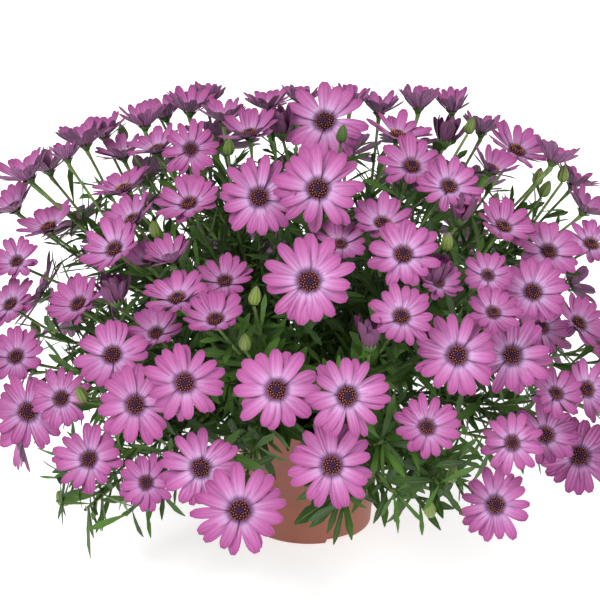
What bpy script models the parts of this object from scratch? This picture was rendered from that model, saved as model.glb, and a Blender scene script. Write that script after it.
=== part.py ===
"""An osteospermum in full bloom, standing in its plastic nursery pot.

The pot's foot stands on the floor with its axis on Z, and the side that faces -Y is the front.
The plant is one bush of flowering branches. Each branch is one solid: a stem that rises out of its own
hole in the compost, its leaves, and the stalks that carry its flower heads and buds.
"""

import math

import bmesh
import bpy
import numpy as np
from mathutils.bvhtree import BVHTree

# The pot, from the floor up. All lengths are in metres.
POT_RIM_RADIUS = 0.0650
POT_HEIGHT = 0.1050
POT_FOOT_RADIUS = 0.0535
POT_WALL = 0.0020
RIM_BAND_HEIGHT = 0.0130
RIM_BAND_STANDS_OUT = 0.0018
STEP_HEIGHT = 0.0240
STEP_STANDS_OUT = 0.0008
FOOT_HEIGHT = 0.0040
POT_SIDES = 24
FOOT_NOTCHES = 4
FOOT_NOTCH_WIDTH = 0.0260
FOOT_NOTCH_HEIGHT = 0.0036
DRAIN_HOLES = 4
DRAIN_HOLE_RADIUS = 0.0040
DRAIN_HOLE_CIRCLE = 0.0300

# The compost, and the holes that the stems stand in.
COMPOST_BELOW_RIM = 0.0080
FIT_GAP = 0.0003
STEM_HOLE_RADIUS = 0.0045
STEM_HOLE_DEPTH = 0.0140

# The mound that the flower heads lie on: an ellipsoid round the pot's axis.
MOUND_RADIUS = 0.2480
MOUND_HALF_HEIGHT = 0.2150
MOUND_CENTRE_HEIGHT = 0.1400
LOWEST_HEAD = 0.0800
MOUND_CENTRE = np.array([0.0, 0.0, MOUND_CENTRE_HEIGHT])
MOUND_AXES = np.array([MOUND_RADIUS, MOUND_RADIUS, MOUND_HALF_HEIGHT])

# The branches.
CROWN = np.array([0.0, 0.0, 0.1000])
BRANCHES = 36
BRANCH_CIRCLE = 0.0440
STEM_RADIUS = 0.0021
STALK_RADIUS = 0.0012
STALK_POINTS = 3
FORK_SHARE = 0.56
FORK_LOWEST = 0.1480

# The flower heads, buds and leaves.
PETALS = 7
EYE_SHARE = 0.20
NOTCH_SHARE = 0.62
PETAL_TIP_SHARE = 0.34
HEAD_CLEARANCE = 0.0035
BUD_RADIUS = 0.0062
LEAF_LENGTH = 0.0440
LEAF_WIDTH = 0.0110
LEAF_THICKNESS = 0.0010
LEAVES_ON_STEM = (0.60, 0.90)
LEAVES_ON_TUFT = 4
CLOSED_HEAD_SCALE = 1.9

# The front of the bush as the photograph shows it. A head's place there is given in the picture's own
# pixels, and the eye's place turns a pixel into a line of sight that meets the mound.
EYE_DISTANCE = 1.80
EYE_ELEVATION = math.radians(21.0)
PIXEL_SIZE = 0.000833
PICTURE_MIDDLE = (300.0, 300.0)
LOOKED_AT = np.array([-0.0075, 0.0, 0.2000])
SIGHT = np.array([0.0, math.cos(EYE_ELEVATION), -math.sin(EYE_ELEVATION)])
SIGHT_UP = np.array([0.0, math.sin(EYE_ELEVATION), math.cos(EYE_ELEVATION)])
EYE = LOOKED_AT - EYE_DISTANCE * SIGHT

# Each head: across, down, radius, and its turn. Turn 1 faces the viewer with its petals flat, 0 is a cup
# tilted up and outward, and -1 a cup that faces the sky. A head that lies over another comes before it.
HEADS_SEEN = (
    (309, 281, 48, 0.95), (332, 465, 45, 0.9), (240, 511, 49, 0.8), (277, 390, 45, 0.95),
    (346, 396, 44, 0.9), (457, 355, 44, 0.95), (185, 383, 43, 0.9), (136, 405, 42, 0.85),
    (325, 122, 44, 0.9), (259, 198, 43, 0.8), (318, 190, 47, 0.8), (403, 256, 40, 0.4),
    (201, 468, 42, 0.9), (495, 505, 39, 0.9), (512, 356, 40, 0.85), (401, 318, 36, 0.35),
    (426, 428, 35, 0.6), (411, 168, 36, 0.4), (448, 188, 35, 0.5), (28, 412, 39, 0.9),
    (113, 356, 40, 0.6), (50, 230, 36, 0.2), (80, 306, 35, 0.2), (191, 150, 31, 0.8),
    (190, 206, 37, 0.25), (134, 222, 33, 0.1), (116, 251, 36, 0.15), (178, 301, 37, 0.1),
    (216, 322, 36, 0.05), (225, 283, 33, 0.05), (515, 153, 37, 0.3), (502, 229, 35, 0.35),
    (548, 253, 34, 0.4), (532, 293, 38, 0.5), (590, 246, 32, 0.4), (583, 212, 32, 0.1),
    (579, 456, 41, 0.9), (512, 443, 32, 0.9), (545, 436, 37, 0.6), (585, 390, 34, 0.5),
    (540, 328, 33, 0.4), (577, 325, 34, 0.3), (487, 277, 28, 0.4), (492, 314, 30, 0.4),
    (62, 399, 33, 0.7), (17, 358, 33, 0.6), (90, 460, 37, 0.6), (147, 483, 31, 0.6),
    (12, 306, 32, 0.3), (18, 263, 28, 0.5), (382, 226, 36, 0.0), (125, 192, 36, 0.05),
    (250, 137, 35, -0.2), (268, 110, 31, -0.2), (158, 152, 33, -0.2), (86, 146, 36, -0.4),
    (124, 158, 32, -0.3), (30, 179, 40, -0.3), (50, 172, 33, -0.2), (190, 113, 34, -0.5),
    (166, 118, 32, -0.3), (397, 138, 37, 0.1), (379, 114, 30, -0.4), (418, 110, 31, -0.7),
    (452, 112, 29, -0.8), (490, 172, 33, -0.1), (552, 163, 32, -0.5), (172, 262, 32, -0.3),
    (150, 262, 30, 0.0), (157, 335, 33, 0.2), (438, 285, 26, 0.1), (16, 210, 34, 0.0),
    (340, 246, 30, 0.1), (224, 122, 31, -0.4), (555, 395, 30, 0.5), (145, 127, 32, -0.4),
    (105, 138, 31, -0.5), (68, 160, 30, -0.5), (350, 108, 29, -0.5), (481, 134, 30, -0.4),
    (10, 190, 32, -0.3), (572, 186, 31, -0.2), (300, 104, 28, -0.5), (208, 104, 28, -0.6),
)
BUDS_SEEN = (
    (342, 135), (229, 148), (470, 127), (563, 175), (538, 178), (155, 230), (82, 395),
    (245, 343), (255, 297), (62, 499), (430, 510), (452, 475), (447, 243), (545, 190),
)
CLOSED_HEADS_SEEN = ((370, 338), (432, 277), (446, 135), (461, 212), (115, 294), (281, 126))
TUFTS_SEEN = (
    (126, 515), (345, 505), (398, 495), (440, 485), (85, 510), (385, 440), (466, 462), (60, 480),
)

# The sides and the back, which the picture hides, are filled by a golden-angle spiral.
SPIRAL_HEADS = 94
SPIRAL_RADIUS = (0.033, 0.039)
SPIRAL_SPACING = 0.059
TURNED_AWAY = 0.22
BACK_BUDS = 6
SEED = 21


def unit(vector):
    """The vector at length 1."""
    return vector / np.linalg.norm(vector)


def place_in_picture(across, down):
    """The point where the line of sight through a pixel meets the mound, or comes nearest to it, and
    its distance from the eye."""
    right = (across - PICTURE_MIDDLE[0]) * PIXEL_SIZE
    up = (PICTURE_MIDDLE[1] - down) * PIXEL_SIZE
    line = unit(EYE_DISTANCE * SIGHT + right * np.array([1.0, 0.0, 0.0]) + up * SIGHT_UP)
    start, way = (EYE - MOUND_CENTRE) / MOUND_AXES, line / MOUND_AXES
    a, b, c = way @ way, start @ way, start @ start - 1.0
    reach = (-b - math.sqrt(max(b * b - a * c, 0.0))) / a
    point = EYE + reach * line
    if point[2] < LOWEST_HEAD:
        point = point + line * (LOWEST_HEAD - point[2]) / line[2]
    return point, reach, line


def mound_normal(point):
    """The mound's outward direction at a point on it."""
    return unit((point - MOUND_CENTRE) / MOUND_AXES**2)


def facing(point, turn, wobble):
    """The way a head looks: from up and out of the mound, turned to the viewer or to the sky."""
    sky = np.array([0.0, 0.0, 1.0])
    spread = (point - MOUND_CENTRE) * [1.0, 1.0, 0.0] / MOUND_RADIUS
    raised = unit(0.55 * spread + 0.87 * sky)
    way = raised * (1.0 - abs(turn)) + (-SIGHT if turn > 0 else sky) * abs(turn)
    return unit(way + wobble)


def cup_of(turn, draw):
    """How far a head's petals rise, as a share of their length: little on a head that faces the viewer,
    half on a cup that leans outward and more on one that faces the sky."""
    return max(0.03, 0.50 - 0.46 * max(0.0, turn) ** 0.8 + 0.32 * max(0.0, -turn) + draw)


def seen_heads(rng):
    """The heads that the picture shows, as (centre, facing, radius, cup, way back)."""
    heads = []
    for across, down, radius, turn in HEADS_SEEN:
        point, reach, line = place_in_picture(across, down)
        wobble, draw = rng.normal(0.0, 0.08, 3), rng.normal(0.0, 0.05)
        size = radius * PIXEL_SIZE * reach / EYE_DISTANCE
        heads.append([point, facing(point, turn, wobble), size, cup_of(turn, draw), line])
    return heads


def spiral_heads(rng, taken):
    """Heads for the sides and the back: points of a golden-angle spiral on the mound that lie clear of
    the heads already placed, and behind the part that the picture shows."""
    golden = math.pi * (3.0 - math.sqrt(5.0))
    lowest = (LOWEST_HEAD + 0.012 - MOUND_CENTRE_HEIGHT) / MOUND_HALF_HEIGHT
    heads = []
    for i in range(SPIRAL_HEADS):
        height = 0.985 - (0.985 - lowest) * (i + 0.5) / SPIRAL_HEADS
        ring = math.sqrt(1.0 - height * height)
        angle = i * golden
        point = MOUND_CENTRE + MOUND_AXES * [ring * math.cos(angle), ring * math.sin(angle), height]
        wobble, draw = rng.normal(0.0, 0.16, 3), rng.uniform(*SPIRAL_RADIUS)
        cup = rng.uniform(0.05, 0.40)
        normal = mound_normal(point)
        if -normal @ SIGHT > TURNED_AWAY:
            continue
        if all(np.linalg.norm(point - head[0]) > SPIRAL_SPACING for head in taken + heads):
            way = unit(normal + [0.0, 0.0, 0.35] + wobble)
            heads.append([point, way, draw, cup, -normal])
    return heads


def cup_rise(share, cup, radius):
    """How high a head's petals stand over its middle at a share of their length."""
    return cup * radius * share**1.25


def rim_points(head):
    """Points on a head: its middle and three rings, on the cup that its petals make."""
    centre, way, radius, cup = head[:4]
    side = unit(np.cross(way, [0.31, 0.17, 0.93]))
    other = np.cross(way, side)
    turns = np.arange(14) * math.pi / 7.0
    flat = radius * math.sqrt(1.0 - cup * cup)
    ring = flat * (np.outer(np.cos(turns), side) + np.outer(np.sin(turns), other))
    rings = [centre + share * ring + cup_rise(share, cup, radius) * way for share in (0.35, 0.7, 1.0)]
    return np.vstack([centre[None], *rings])


def heads_touch(one, two):
    """True where a point of one head lies within the clearance of the other's cup or of its stalk."""
    if np.linalg.norm(one[0] - two[0]) > one[2] + two[2] + 0.012:
        return False
    for points, head in ((rim_points(one), two), (rim_points(two), one)):
        offset = points - head[0]
        height = offset @ head[1]
        spread = np.linalg.norm(offset - np.outer(height, head[1]), axis=1)
        share = spread / (head[2] * math.sqrt(1.0 - head[3] ** 2))
        near = (share < 1.06) & (abs(height - cup_rise(share, head[3], head[2])) < HEAD_CLEARANCE)
        below = (spread < 0.22 * head[2]) & (height < 0) & (height > -0.030)
        if (near | below).any():
            return True
    return False


def clear_heads(heads):
    """Moves each head along its way back, as little as will clear every head placed before it. One
    that finds no place even at three quarters of its size is left out."""
    steps = [0.004 * k * s for k in range(16) for s in ((1, -1) if k < 8 else (1,))]
    placed = []
    for point, way, radius, cup, back in heads:
        for share in (1.0, 0.9, 0.8, 0.72):
            tries = ([point + step * back, way, share * radius, cup, back] for step in steps)
            free = next((t for t in tries if not any(heads_touch(t, p) for p in placed)), None)
            if free is not None:
                placed.append(free)
                break
    return placed


def small_places(rng, heads):
    """The buds, closed heads and leaf tufts in the picture, then a few buds on the back, as (kind,
    centre, facing)."""
    small = []
    for kind, spots in (("bud", BUDS_SEEN), ("closed", CLOSED_HEADS_SEEN), ("tuft", TUFTS_SEEN)):
        for across, down in spots:
            point, _, line = place_in_picture(across, down)
            turn = 0.3 if kind == "tuft" else -0.3
            small.append((kind, point + 0.004 * line, facing(point, turn, rng.normal(0.0, 0.15, 3))))
    behind = [h for h in heads if h[0][1] > 0.08]
    for head in behind[:: max(1, len(behind) // BACK_BUDS)][:BACK_BUDS]:
        point = head[0] + 0.045 * unit(np.cross(head[1], [0.2, 0.9, 0.4])) - 0.006 * head[1]
        small.append(("bud", point, facing(point, -0.5, rng.normal(0.0, 0.15, 3))))
    return small


def grouped(points):
    """Shares the points out among the branches by their direction from the crown: first the points
    furthest from one another lead, then each group's mean direction, over some rounds."""
    ways = np.array([unit(p - CROWN) for p in points])
    leads = [int(np.argmax(ways[:, 2]))]
    while len(leads) < BRANCHES:
        nearest = np.max(ways @ ways[leads].T, axis=1)
        leads.append(int(np.argmin(nearest)))
    middles = ways[leads]
    for _ in range(12):
        owner = np.argmax(ways @ middles.T, axis=1)
        middles = np.array([unit(ways[owner == k].sum(0)) if (owner == k).any() else middles[k]
                            for k in range(BRANCHES)])
    return owner


def bezier(p0, p1, p2, p3, count):
    """Points along a cubic Bezier curve."""
    t = np.linspace(0.0, 1.0, count)[:, None]
    return (1 - t) ** 3 * p0 + 3 * (1 - t) ** 2 * t * p1 + 3 * (1 - t) * t**2 * p2 + t**3 * p3


def branch_foot(way):
    """Where a branch leaves the compost: under its own direction, further out the lower it leans."""
    lean = math.acos(min(1.0, way[2])) / math.radians(95.0)
    flat = way[:2] / max(1e-6, np.linalg.norm(way[:2]))
    spot = flat * BRANCH_CIRCLE * math.sqrt(min(1.0, lean))
    return np.array([spot[0], spot[1], POT_HEIGHT - COMPOST_BELOW_RIM])


def spread_feet(feet):
    """Pushes the feet apart until each stands clear of the next, inside the pot."""
    feet = np.array(feet)
    for _ in range(200):
        gap = feet[:, None, :2] - feet[None, :, :2]
        far = np.linalg.norm(gap, axis=2) + np.eye(len(feet))
        push = np.clip(0.0112 - far, 0.0, None) * (1 - np.eye(len(feet)))
        feet[:, :2] += 0.25 * (gap / far[..., None] * push[..., None]).sum(1)
        out = np.linalg.norm(feet[:, :2], axis=1)
        feet[:, :2] *= np.minimum(1.0, 0.0500 / np.maximum(out, 1e-9))[:, None]
    return feet


def stem_line(foot, fork):
    """A stem: straight up out of the compost, then over to its fork in one bend."""
    low = foot - [0.0, 0.0, STEM_HOLE_DEPTH - FIT_GAP]
    up = 0.55 * (fork[2] - foot[2]) + 0.10 * np.linalg.norm(fork[:2] - foot[:2])
    start = foot + [0.0, 0.0, 0.004]
    bend = bezier(start, start + [0.0, 0.0, up], fork - 0.35 * (fork - start), fork, 4)
    return np.vstack([low[None], bend])


def stalk_line(root, way, end, end_way, lead, tail):
    """A stalk: on from its root, then round to come up behind what it carries."""
    span = np.linalg.norm(end - root)
    return bezier(root, root + lead * span * way, end - tail * span * end_way, end, STALK_POINTS)


def along_line(line, share):
    """The point at a share of a line's length, and the line's way there."""
    steps = np.linalg.norm(np.diff(line, axis=0), axis=1)
    reach = share * steps.sum()
    k = int(min(np.searchsorted(np.cumsum(steps), reach), len(steps) - 1))
    way = (line[k + 1] - line[k]) / steps[k]
    return line[k] + (reach - steps[:k].sum()) * way, way


def tube(line, radii, sides, capped=True):
    """A tube of a few sides: rings across the line, carried along it without twist, with a flat cap
    where it starts, and one where it ends if it is capped."""
    line = np.asarray(line, float)
    along = np.gradient(line, axis=0)
    along /= np.linalg.norm(along, axis=1)[:, None]
    side = unit(np.cross(along[0], [0.36, 0.48, 0.80]))
    angles = np.arange(sides) * 2.0 * math.pi / sides
    points = []
    for centre, way, radius in zip(line, along, radii):
        side = unit(side - (side @ way) * way)
        other = np.cross(way, side)
        points += [centre + radius * (math.cos(a) * side + math.sin(a) * other) for a in angles]
    faces = []
    for ring in range(len(line) - 1):
        for k in range(sides):
            a, b = ring * sides + k, ring * sides + (k + 1) % sides
            faces += [(a, b, b + sides), (a, b + sides, a + sides)]
    last = (len(line) - 1) * sides
    for k in range(1, sides - 1):
        faces += [(0, k + 1, k)]
        faces += [(last, last + k, last + k + 1)] if capped else []
    return np.array(points), faces


def flower_on_stalk(head, spin, line, radii):
    """A stalk that opens into a flower head: a domed eye in a ring of petals over a low cup. Each petal
    is a blunt lobe that stands apart from the next beyond the notch and thins towards its tip."""
    stalk, faces = tube(line, radii, 3, capped=False)
    centre, way, radius, cup = head
    side = unit(np.cross(way, [0.31, 0.17, 0.93]))
    other = np.cross(way, side)
    step = 2.0 * math.pi / PETALS
    flat = math.sqrt(1.0 - cup * cup)

    def at(angle, out, up):
        return centre + radius * out * (math.cos(angle) * side + math.sin(angle) * other) + up * way

    first = len(stalk)
    points = [at(0.0, 0.0, 0.0040)]
    for k in range(PETALS):
        points.append(at(spin + (k + 0.5) * step, EYE_SHARE, 0.0022))
    rim_angles = []
    for k in range(PETALS):
        middle = spin + k * step
        for turn, share in ((-0.5, NOTCH_SHARE), (-PETAL_TIP_SHARE, 1.0), (PETAL_TIP_SHARE, 1.0)):
            rim_angles.append(middle + turn * step)
            points.append(at(rim_angles[-1], share * flat, cup_rise(share, cup, radius)))
    rim = first + 1 + PETALS
    for k in range(PETALS):
        before, after = first + 1 + (k - 1) % PETALS, first + 1 + k
        notch, left, right = rim + 3 * k, rim + 3 * k + 1, rim + 3 * k + 2
        next_notch = rim + 3 * ((k + 1) % PETALS)
        faces += [(first, before, after), (before, notch, left), (before, left, after),
                  (after, left, right), (after, right, next_notch)]
    ring = [(math.atan2((p - centre) @ other, (p - centre) @ side), first - 3 + n)
            for n, p in enumerate(stalk[-3:])]
    nearest = []
    for k in range(3 * PETALS):
        ahead = rim_angles[(k + 1) % (3 * PETALS)] - rim_angles[k]
        middle = rim_angles[k] + 0.5 * (ahead % (2.0 * math.pi))
        nearest.append(max(ring, key=lambda r: math.cos(r[0] - middle))[1])
    for k in range(3 * PETALS):
        after = (k + 1) % (3 * PETALS)
        faces.append((rim + k, nearest[k], rim + after))
        if nearest[after] != nearest[k]:
            faces.append((rim + after, nearest[k], nearest[after]))
    return np.vstack([stalk, points]), faces


def bud_on_stalk(point, way, scale, line, radii):
    """A stalk that swells into a bud, a short fat spindle, or into a closed head, which is larger."""
    heights = (-0.0030, 0.0040, 0.0085)
    line = np.vstack([line, [point + scale * h * way for h in heights]])
    radii = [*radii, BUD_RADIUS * scale, 0.85 * BUD_RADIUS * scale, 0.30 * BUD_RADIUS * scale]
    return tube(line, radii, 4)


def leaf(root, way, up, length, width):
    """A leaf: widest beyond its middle, its two halves raised a little from the midrib, and curving
    down to its tip. Both faces are folded alike."""
    across = unit(np.cross(way, up))
    up = np.cross(across, way)
    half = 0.5 * width
    ridge = root + 0.62 * length * way + 0.06 * length * up
    points = [root + LEAF_THICKNESS * up, root - LEAF_THICKNESS * up,
              ridge + half * across + 0.0016 * up, ridge - half * across + 0.0016 * up,
              ridge + 0.7 * LEAF_THICKNESS * up, ridge - 0.7 * LEAF_THICKNESS * up,
              root + length * way - 0.04 * length * up]
    faces = [(0, 4, 2), (0, 3, 4), (2, 4, 6), (4, 3, 6), (1, 2, 5), (1, 5, 3), (2, 6, 5), (5, 6, 3),
             (0, 2, 1), (0, 1, 3)]
    return np.array(points), faces


def tree_of(shape):
    """A shape as a search tree for finding what it crosses."""
    points, faces = shape
    return BVHTree.FromPolygons([tuple(p) for p in points], faces)


def crosses(shape, others):
    """True where the shape's surface crosses that of any of the others, which are (low, high, tree)."""
    low, high = shape[0].min(0), shape[0].max(0)
    near = [t for lo, hi, t in others if (lo < high).all() and (hi > low).all()]
    if not near:
        return False
    own = tree_of(shape)
    return any(own.overlap(tree) for tree in near)


def fence(shape):
    """A shape's bounds and search tree."""
    return shape[0].min(0), shape[0].max(0), tree_of(shape)


def material(name, colour, roughness):
    """A plain finish."""
    made = bpy.data.materials.new(name)
    made.use_nodes = True
    shader = made.node_tree.nodes["Principled BSDF"]
    shader.inputs["Base Color"].default_value = (*colour, 1.0)
    shader.inputs["Roughness"].default_value = roughness
    shader.inputs["Metallic"].default_value = 0.0
    return made


def mesh_object(name, shape, finish, collection):
    """A mesh object from points and faces, with its faces turned outward."""
    mesh = bpy.data.meshes.new(name)
    points, faces = shape
    mesh.from_pydata([tuple(p) for p in points], [], [tuple(f) for f in faces])
    shell = bmesh.new()
    shell.from_mesh(mesh)
    bmesh.ops.remove_doubles(shell, verts=shell.verts, dist=1e-7)
    bmesh.ops.recalc_face_normals(shell, faces=shell.faces)
    shell.to_mesh(mesh)
    shell.free()
    mesh.materials.append(finish)
    made = bpy.data.objects.new(name, mesh)
    collection.objects.link(made)
    return made


def boolean(target, operation, others, solver):
    """Joins the other objects to the target, or cuts them from it, and removes them."""
    helpers = bpy.data.collections.new("helpers")
    bpy.context.scene.collection.children.link(helpers)
    for other in others:
        for home in other.users_collection:
            home.objects.unlink(other)
        helpers.objects.link(other)
    modifier = target.modifiers.new("join", "BOOLEAN")
    modifier.operation = operation
    modifier.operand_type = "COLLECTION"
    modifier.collection = helpers
    modifier.solver = solver
    bpy.context.view_layer.update()
    graph = bpy.context.evaluated_depsgraph_get()
    mesh = bpy.data.meshes.new_from_object(target.evaluated_get(graph))
    target.modifiers.remove(modifier)
    old, target.data = target.data, mesh
    mesh.name = target.name
    bpy.data.meshes.remove(old)
    for other in others:
        bpy.data.objects.remove(other)
    bpy.data.collections.remove(helpers)


def largest_body(made):
    """Keeps the object's largest connected body and drops loose scraps."""
    shell = bmesh.new()
    shell.from_mesh(made.data)
    left, bodies = set(shell.verts), []
    while left:
        body, edge = set(), [left.pop()]
        while edge:
            vert = edge.pop()
            body.add(vert)
            for link in vert.link_edges:
                other = link.other_vert(vert)
                if other in left:
                    left.discard(other)
                    edge.append(other)
        bodies.append(body)
    keep = max(bodies, key=len)
    bmesh.ops.delete(shell, geom=[v for v in shell.verts if v not in keep], context="VERTS")
    shell.to_mesh(made.data)
    shell.free()


def turned(profile, sides):
    """A solid turned round Z from a closed outline of (radius, height), as points and faces."""
    points, faces = [], []
    count = len(profile)
    for k in range(sides):
        angle = 2.0 * math.pi * (k + 0.5) / sides
        points += [(r * math.cos(angle), r * math.sin(angle), z) for r, z in profile]
        for j in range(count):
            a, b = k * count + j, k * count + (j + 1) % count
            c, d = ((k + 1) % sides) * count + (j + 1) % count, ((k + 1) % sides) * count + j
            faces.append((a, b, c, d))
    return np.array(points), faces


def block(name, centre, size, angle, finish, collection):
    """A box turned about Z, used as a cutter."""
    corners = np.array([(x, y, z) for x in (-0.5, 0.5) for y in (-0.5, 0.5) for z in (-0.5, 0.5)]) * size
    spin = [[math.cos(angle), -math.sin(angle), 0], [math.sin(angle), math.cos(angle), 0], [0, 0, 1]]
    faces = [(0, 1, 3, 2), (4, 6, 7, 5), (0, 4, 5, 1), (2, 3, 7, 6), (0, 2, 6, 4), (1, 5, 7, 3)]
    return mesh_object(name, (corners @ np.transpose(spin) + centre, faces), finish, collection)


def wall_radius(height):
    """The radius of the pot's outer wall at a height: an even taper from the foot to the rim."""
    slope = (POT_RIM_RADIUS - RIM_BAND_STANDS_OUT - STEP_STANDS_OUT - POT_FOOT_RADIUS) / POT_HEIGHT
    return POT_FOOT_RADIUS + slope * height + (STEP_STANDS_OUT if height > STEP_HEIGHT else 0.0)


def pot_shape():
    """The pot's moulding before it is pierced: foot ring, low step, rim band, and a floor that stands
    clear of the table."""
    band = POT_HEIGHT - RIM_BAND_HEIGHT
    tiny = 0.0004
    floor_top = FOOT_HEIGHT + POT_WALL
    outer = [(wall_radius(0.0), 0.0), (wall_radius(STEP_HEIGHT), STEP_HEIGHT),
             (wall_radius(STEP_HEIGHT + tiny), STEP_HEIGHT + tiny),
             (wall_radius(band), band), (wall_radius(band) + RIM_BAND_STANDS_OUT, band + tiny),
             (POT_RIM_RADIUS, POT_HEIGHT)]
    inner = [(wall_radius(POT_HEIGHT) + RIM_BAND_STANDS_OUT - 1.2 * POT_WALL, POT_HEIGHT),
             (wall_radius(STEP_HEIGHT + tiny) - POT_WALL, STEP_HEIGHT),
             (wall_radius(floor_top) - POT_WALL, floor_top), (0.0, floor_top)]
    under = [(0.0, FOOT_HEIGHT), (wall_radius(0.0) - POT_WALL, FOOT_HEIGHT),
             (wall_radius(0.0) - POT_WALL, 0.0)]
    return turned([*outer, *inner, *under], POT_SIDES)


def make_pot(finish, collection):
    """The pot, with its foot ring notched and its floor pierced to drain."""
    pot = mesh_object("pot", pot_shape(), finish, collection)
    floor_top = FOOT_HEIGHT + POT_WALL
    cutters = []
    for k in range(FOOT_NOTCHES):
        angle = math.radians(-60.0) + k * 2.0 * math.pi / FOOT_NOTCHES
        reach = POT_FOOT_RADIUS * np.array([math.cos(angle), math.sin(angle), 0.0])
        cutters.append(block(f"notch_{k}", reach, (0.016, FOOT_NOTCH_WIDTH, 2.0 * FOOT_NOTCH_HEIGHT),
                             angle, finish, collection))
    for k in range(DRAIN_HOLES):
        angle = k * 2.0 * math.pi / DRAIN_HOLES
        spot = DRAIN_HOLE_CIRCLE * np.array([math.cos(angle), math.sin(angle), 0.0])
        line = [spot + [0.0, 0.0, FOOT_HEIGHT - 0.003], spot + [0.0, 0.0, floor_top + 0.003]]
        cutters.append(mesh_object(f"drain_{k}", tube(line, (DRAIN_HOLE_RADIUS,) * 2, 6), finish, collection))
    boolean(pot, "DIFFERENCE", cutters, "EXACT")
    return pot


def compost_shape():
    """The compost before it is pierced: it fills the pot to below the rim."""
    top = POT_HEIGHT - COMPOST_BELOW_RIM
    floor_top = FOOT_HEIGHT + POT_WALL
    base = wall_radius(floor_top) - POT_WALL - FIT_GAP
    waist = wall_radius(STEP_HEIGHT + 0.0004) - POT_WALL - FIT_GAP
    mouth = wall_radius(POT_HEIGHT) + RIM_BAND_STANDS_OUT - 1.2 * POT_WALL
    share = (top - STEP_HEIGHT) / (POT_HEIGHT - STEP_HEIGHT)
    rim = waist + share * (mouth - waist) - 3.0 * FIT_GAP
    line = [(0.0, 0.0, floor_top + FIT_GAP), (0.0, 0.0, STEP_HEIGHT), (0.0, 0.0, top)]
    return tube(line, (base * 0.985, waist * 0.985, rim * 0.985), 20)


def make_compost(feet, finish, collection):
    """The compost, with a plain hole for each stem."""
    compost = mesh_object("compost", compost_shape(), finish, collection)
    cutters = []
    for k, foot in enumerate(feet):
        low, high = foot - [0.0, 0.0, STEM_HOLE_DEPTH], foot + [0.0, 0.0, 0.004]
        cutters.append(mesh_object(f"hole_{k}", tube([low, high], (STEM_HOLE_RADIUS,) * 2, 3), finish,
                                   collection))
    boolean(compost, "DIFFERENCE", cutters, "EXACT")
    return compost


def plan(rng):
    """The heads and small things of the bush, shared out among branches, with each branch's way, foot
    and fork."""
    heads = seen_heads(rng)
    heads = clear_heads(heads + spiral_heads(rng, heads))
    items = [("head", *h[:4]) for h in heads]
    items += [(*small, 0.0, 0.0) for small in small_places(rng, heads)]
    owner = grouped([item[1] for item in items])
    branches = [[item for item, own in zip(items, owner) if own == k] for k in range(BRANCHES)]
    branches = [own for own in branches if own]
    ways = [unit(np.mean([unit(item[1] - CROWN) for item in own], axis=0)) for own in branches]
    feet = spread_feet([branch_foot(way) for way in ways])
    forks = []
    for own, way in zip(branches, ways):
        reach = min(np.linalg.norm(item[1] - CROWN) for item in own)
        fork = CROWN + FORK_SHARE * reach * way
        fork[2] = max(fork[2], FORK_LOWEST) if np.linalg.norm(fork[:2]) < 0.150 else fork[2]
        forks.append(fork)
    return branches, ways, feet, forks


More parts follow.
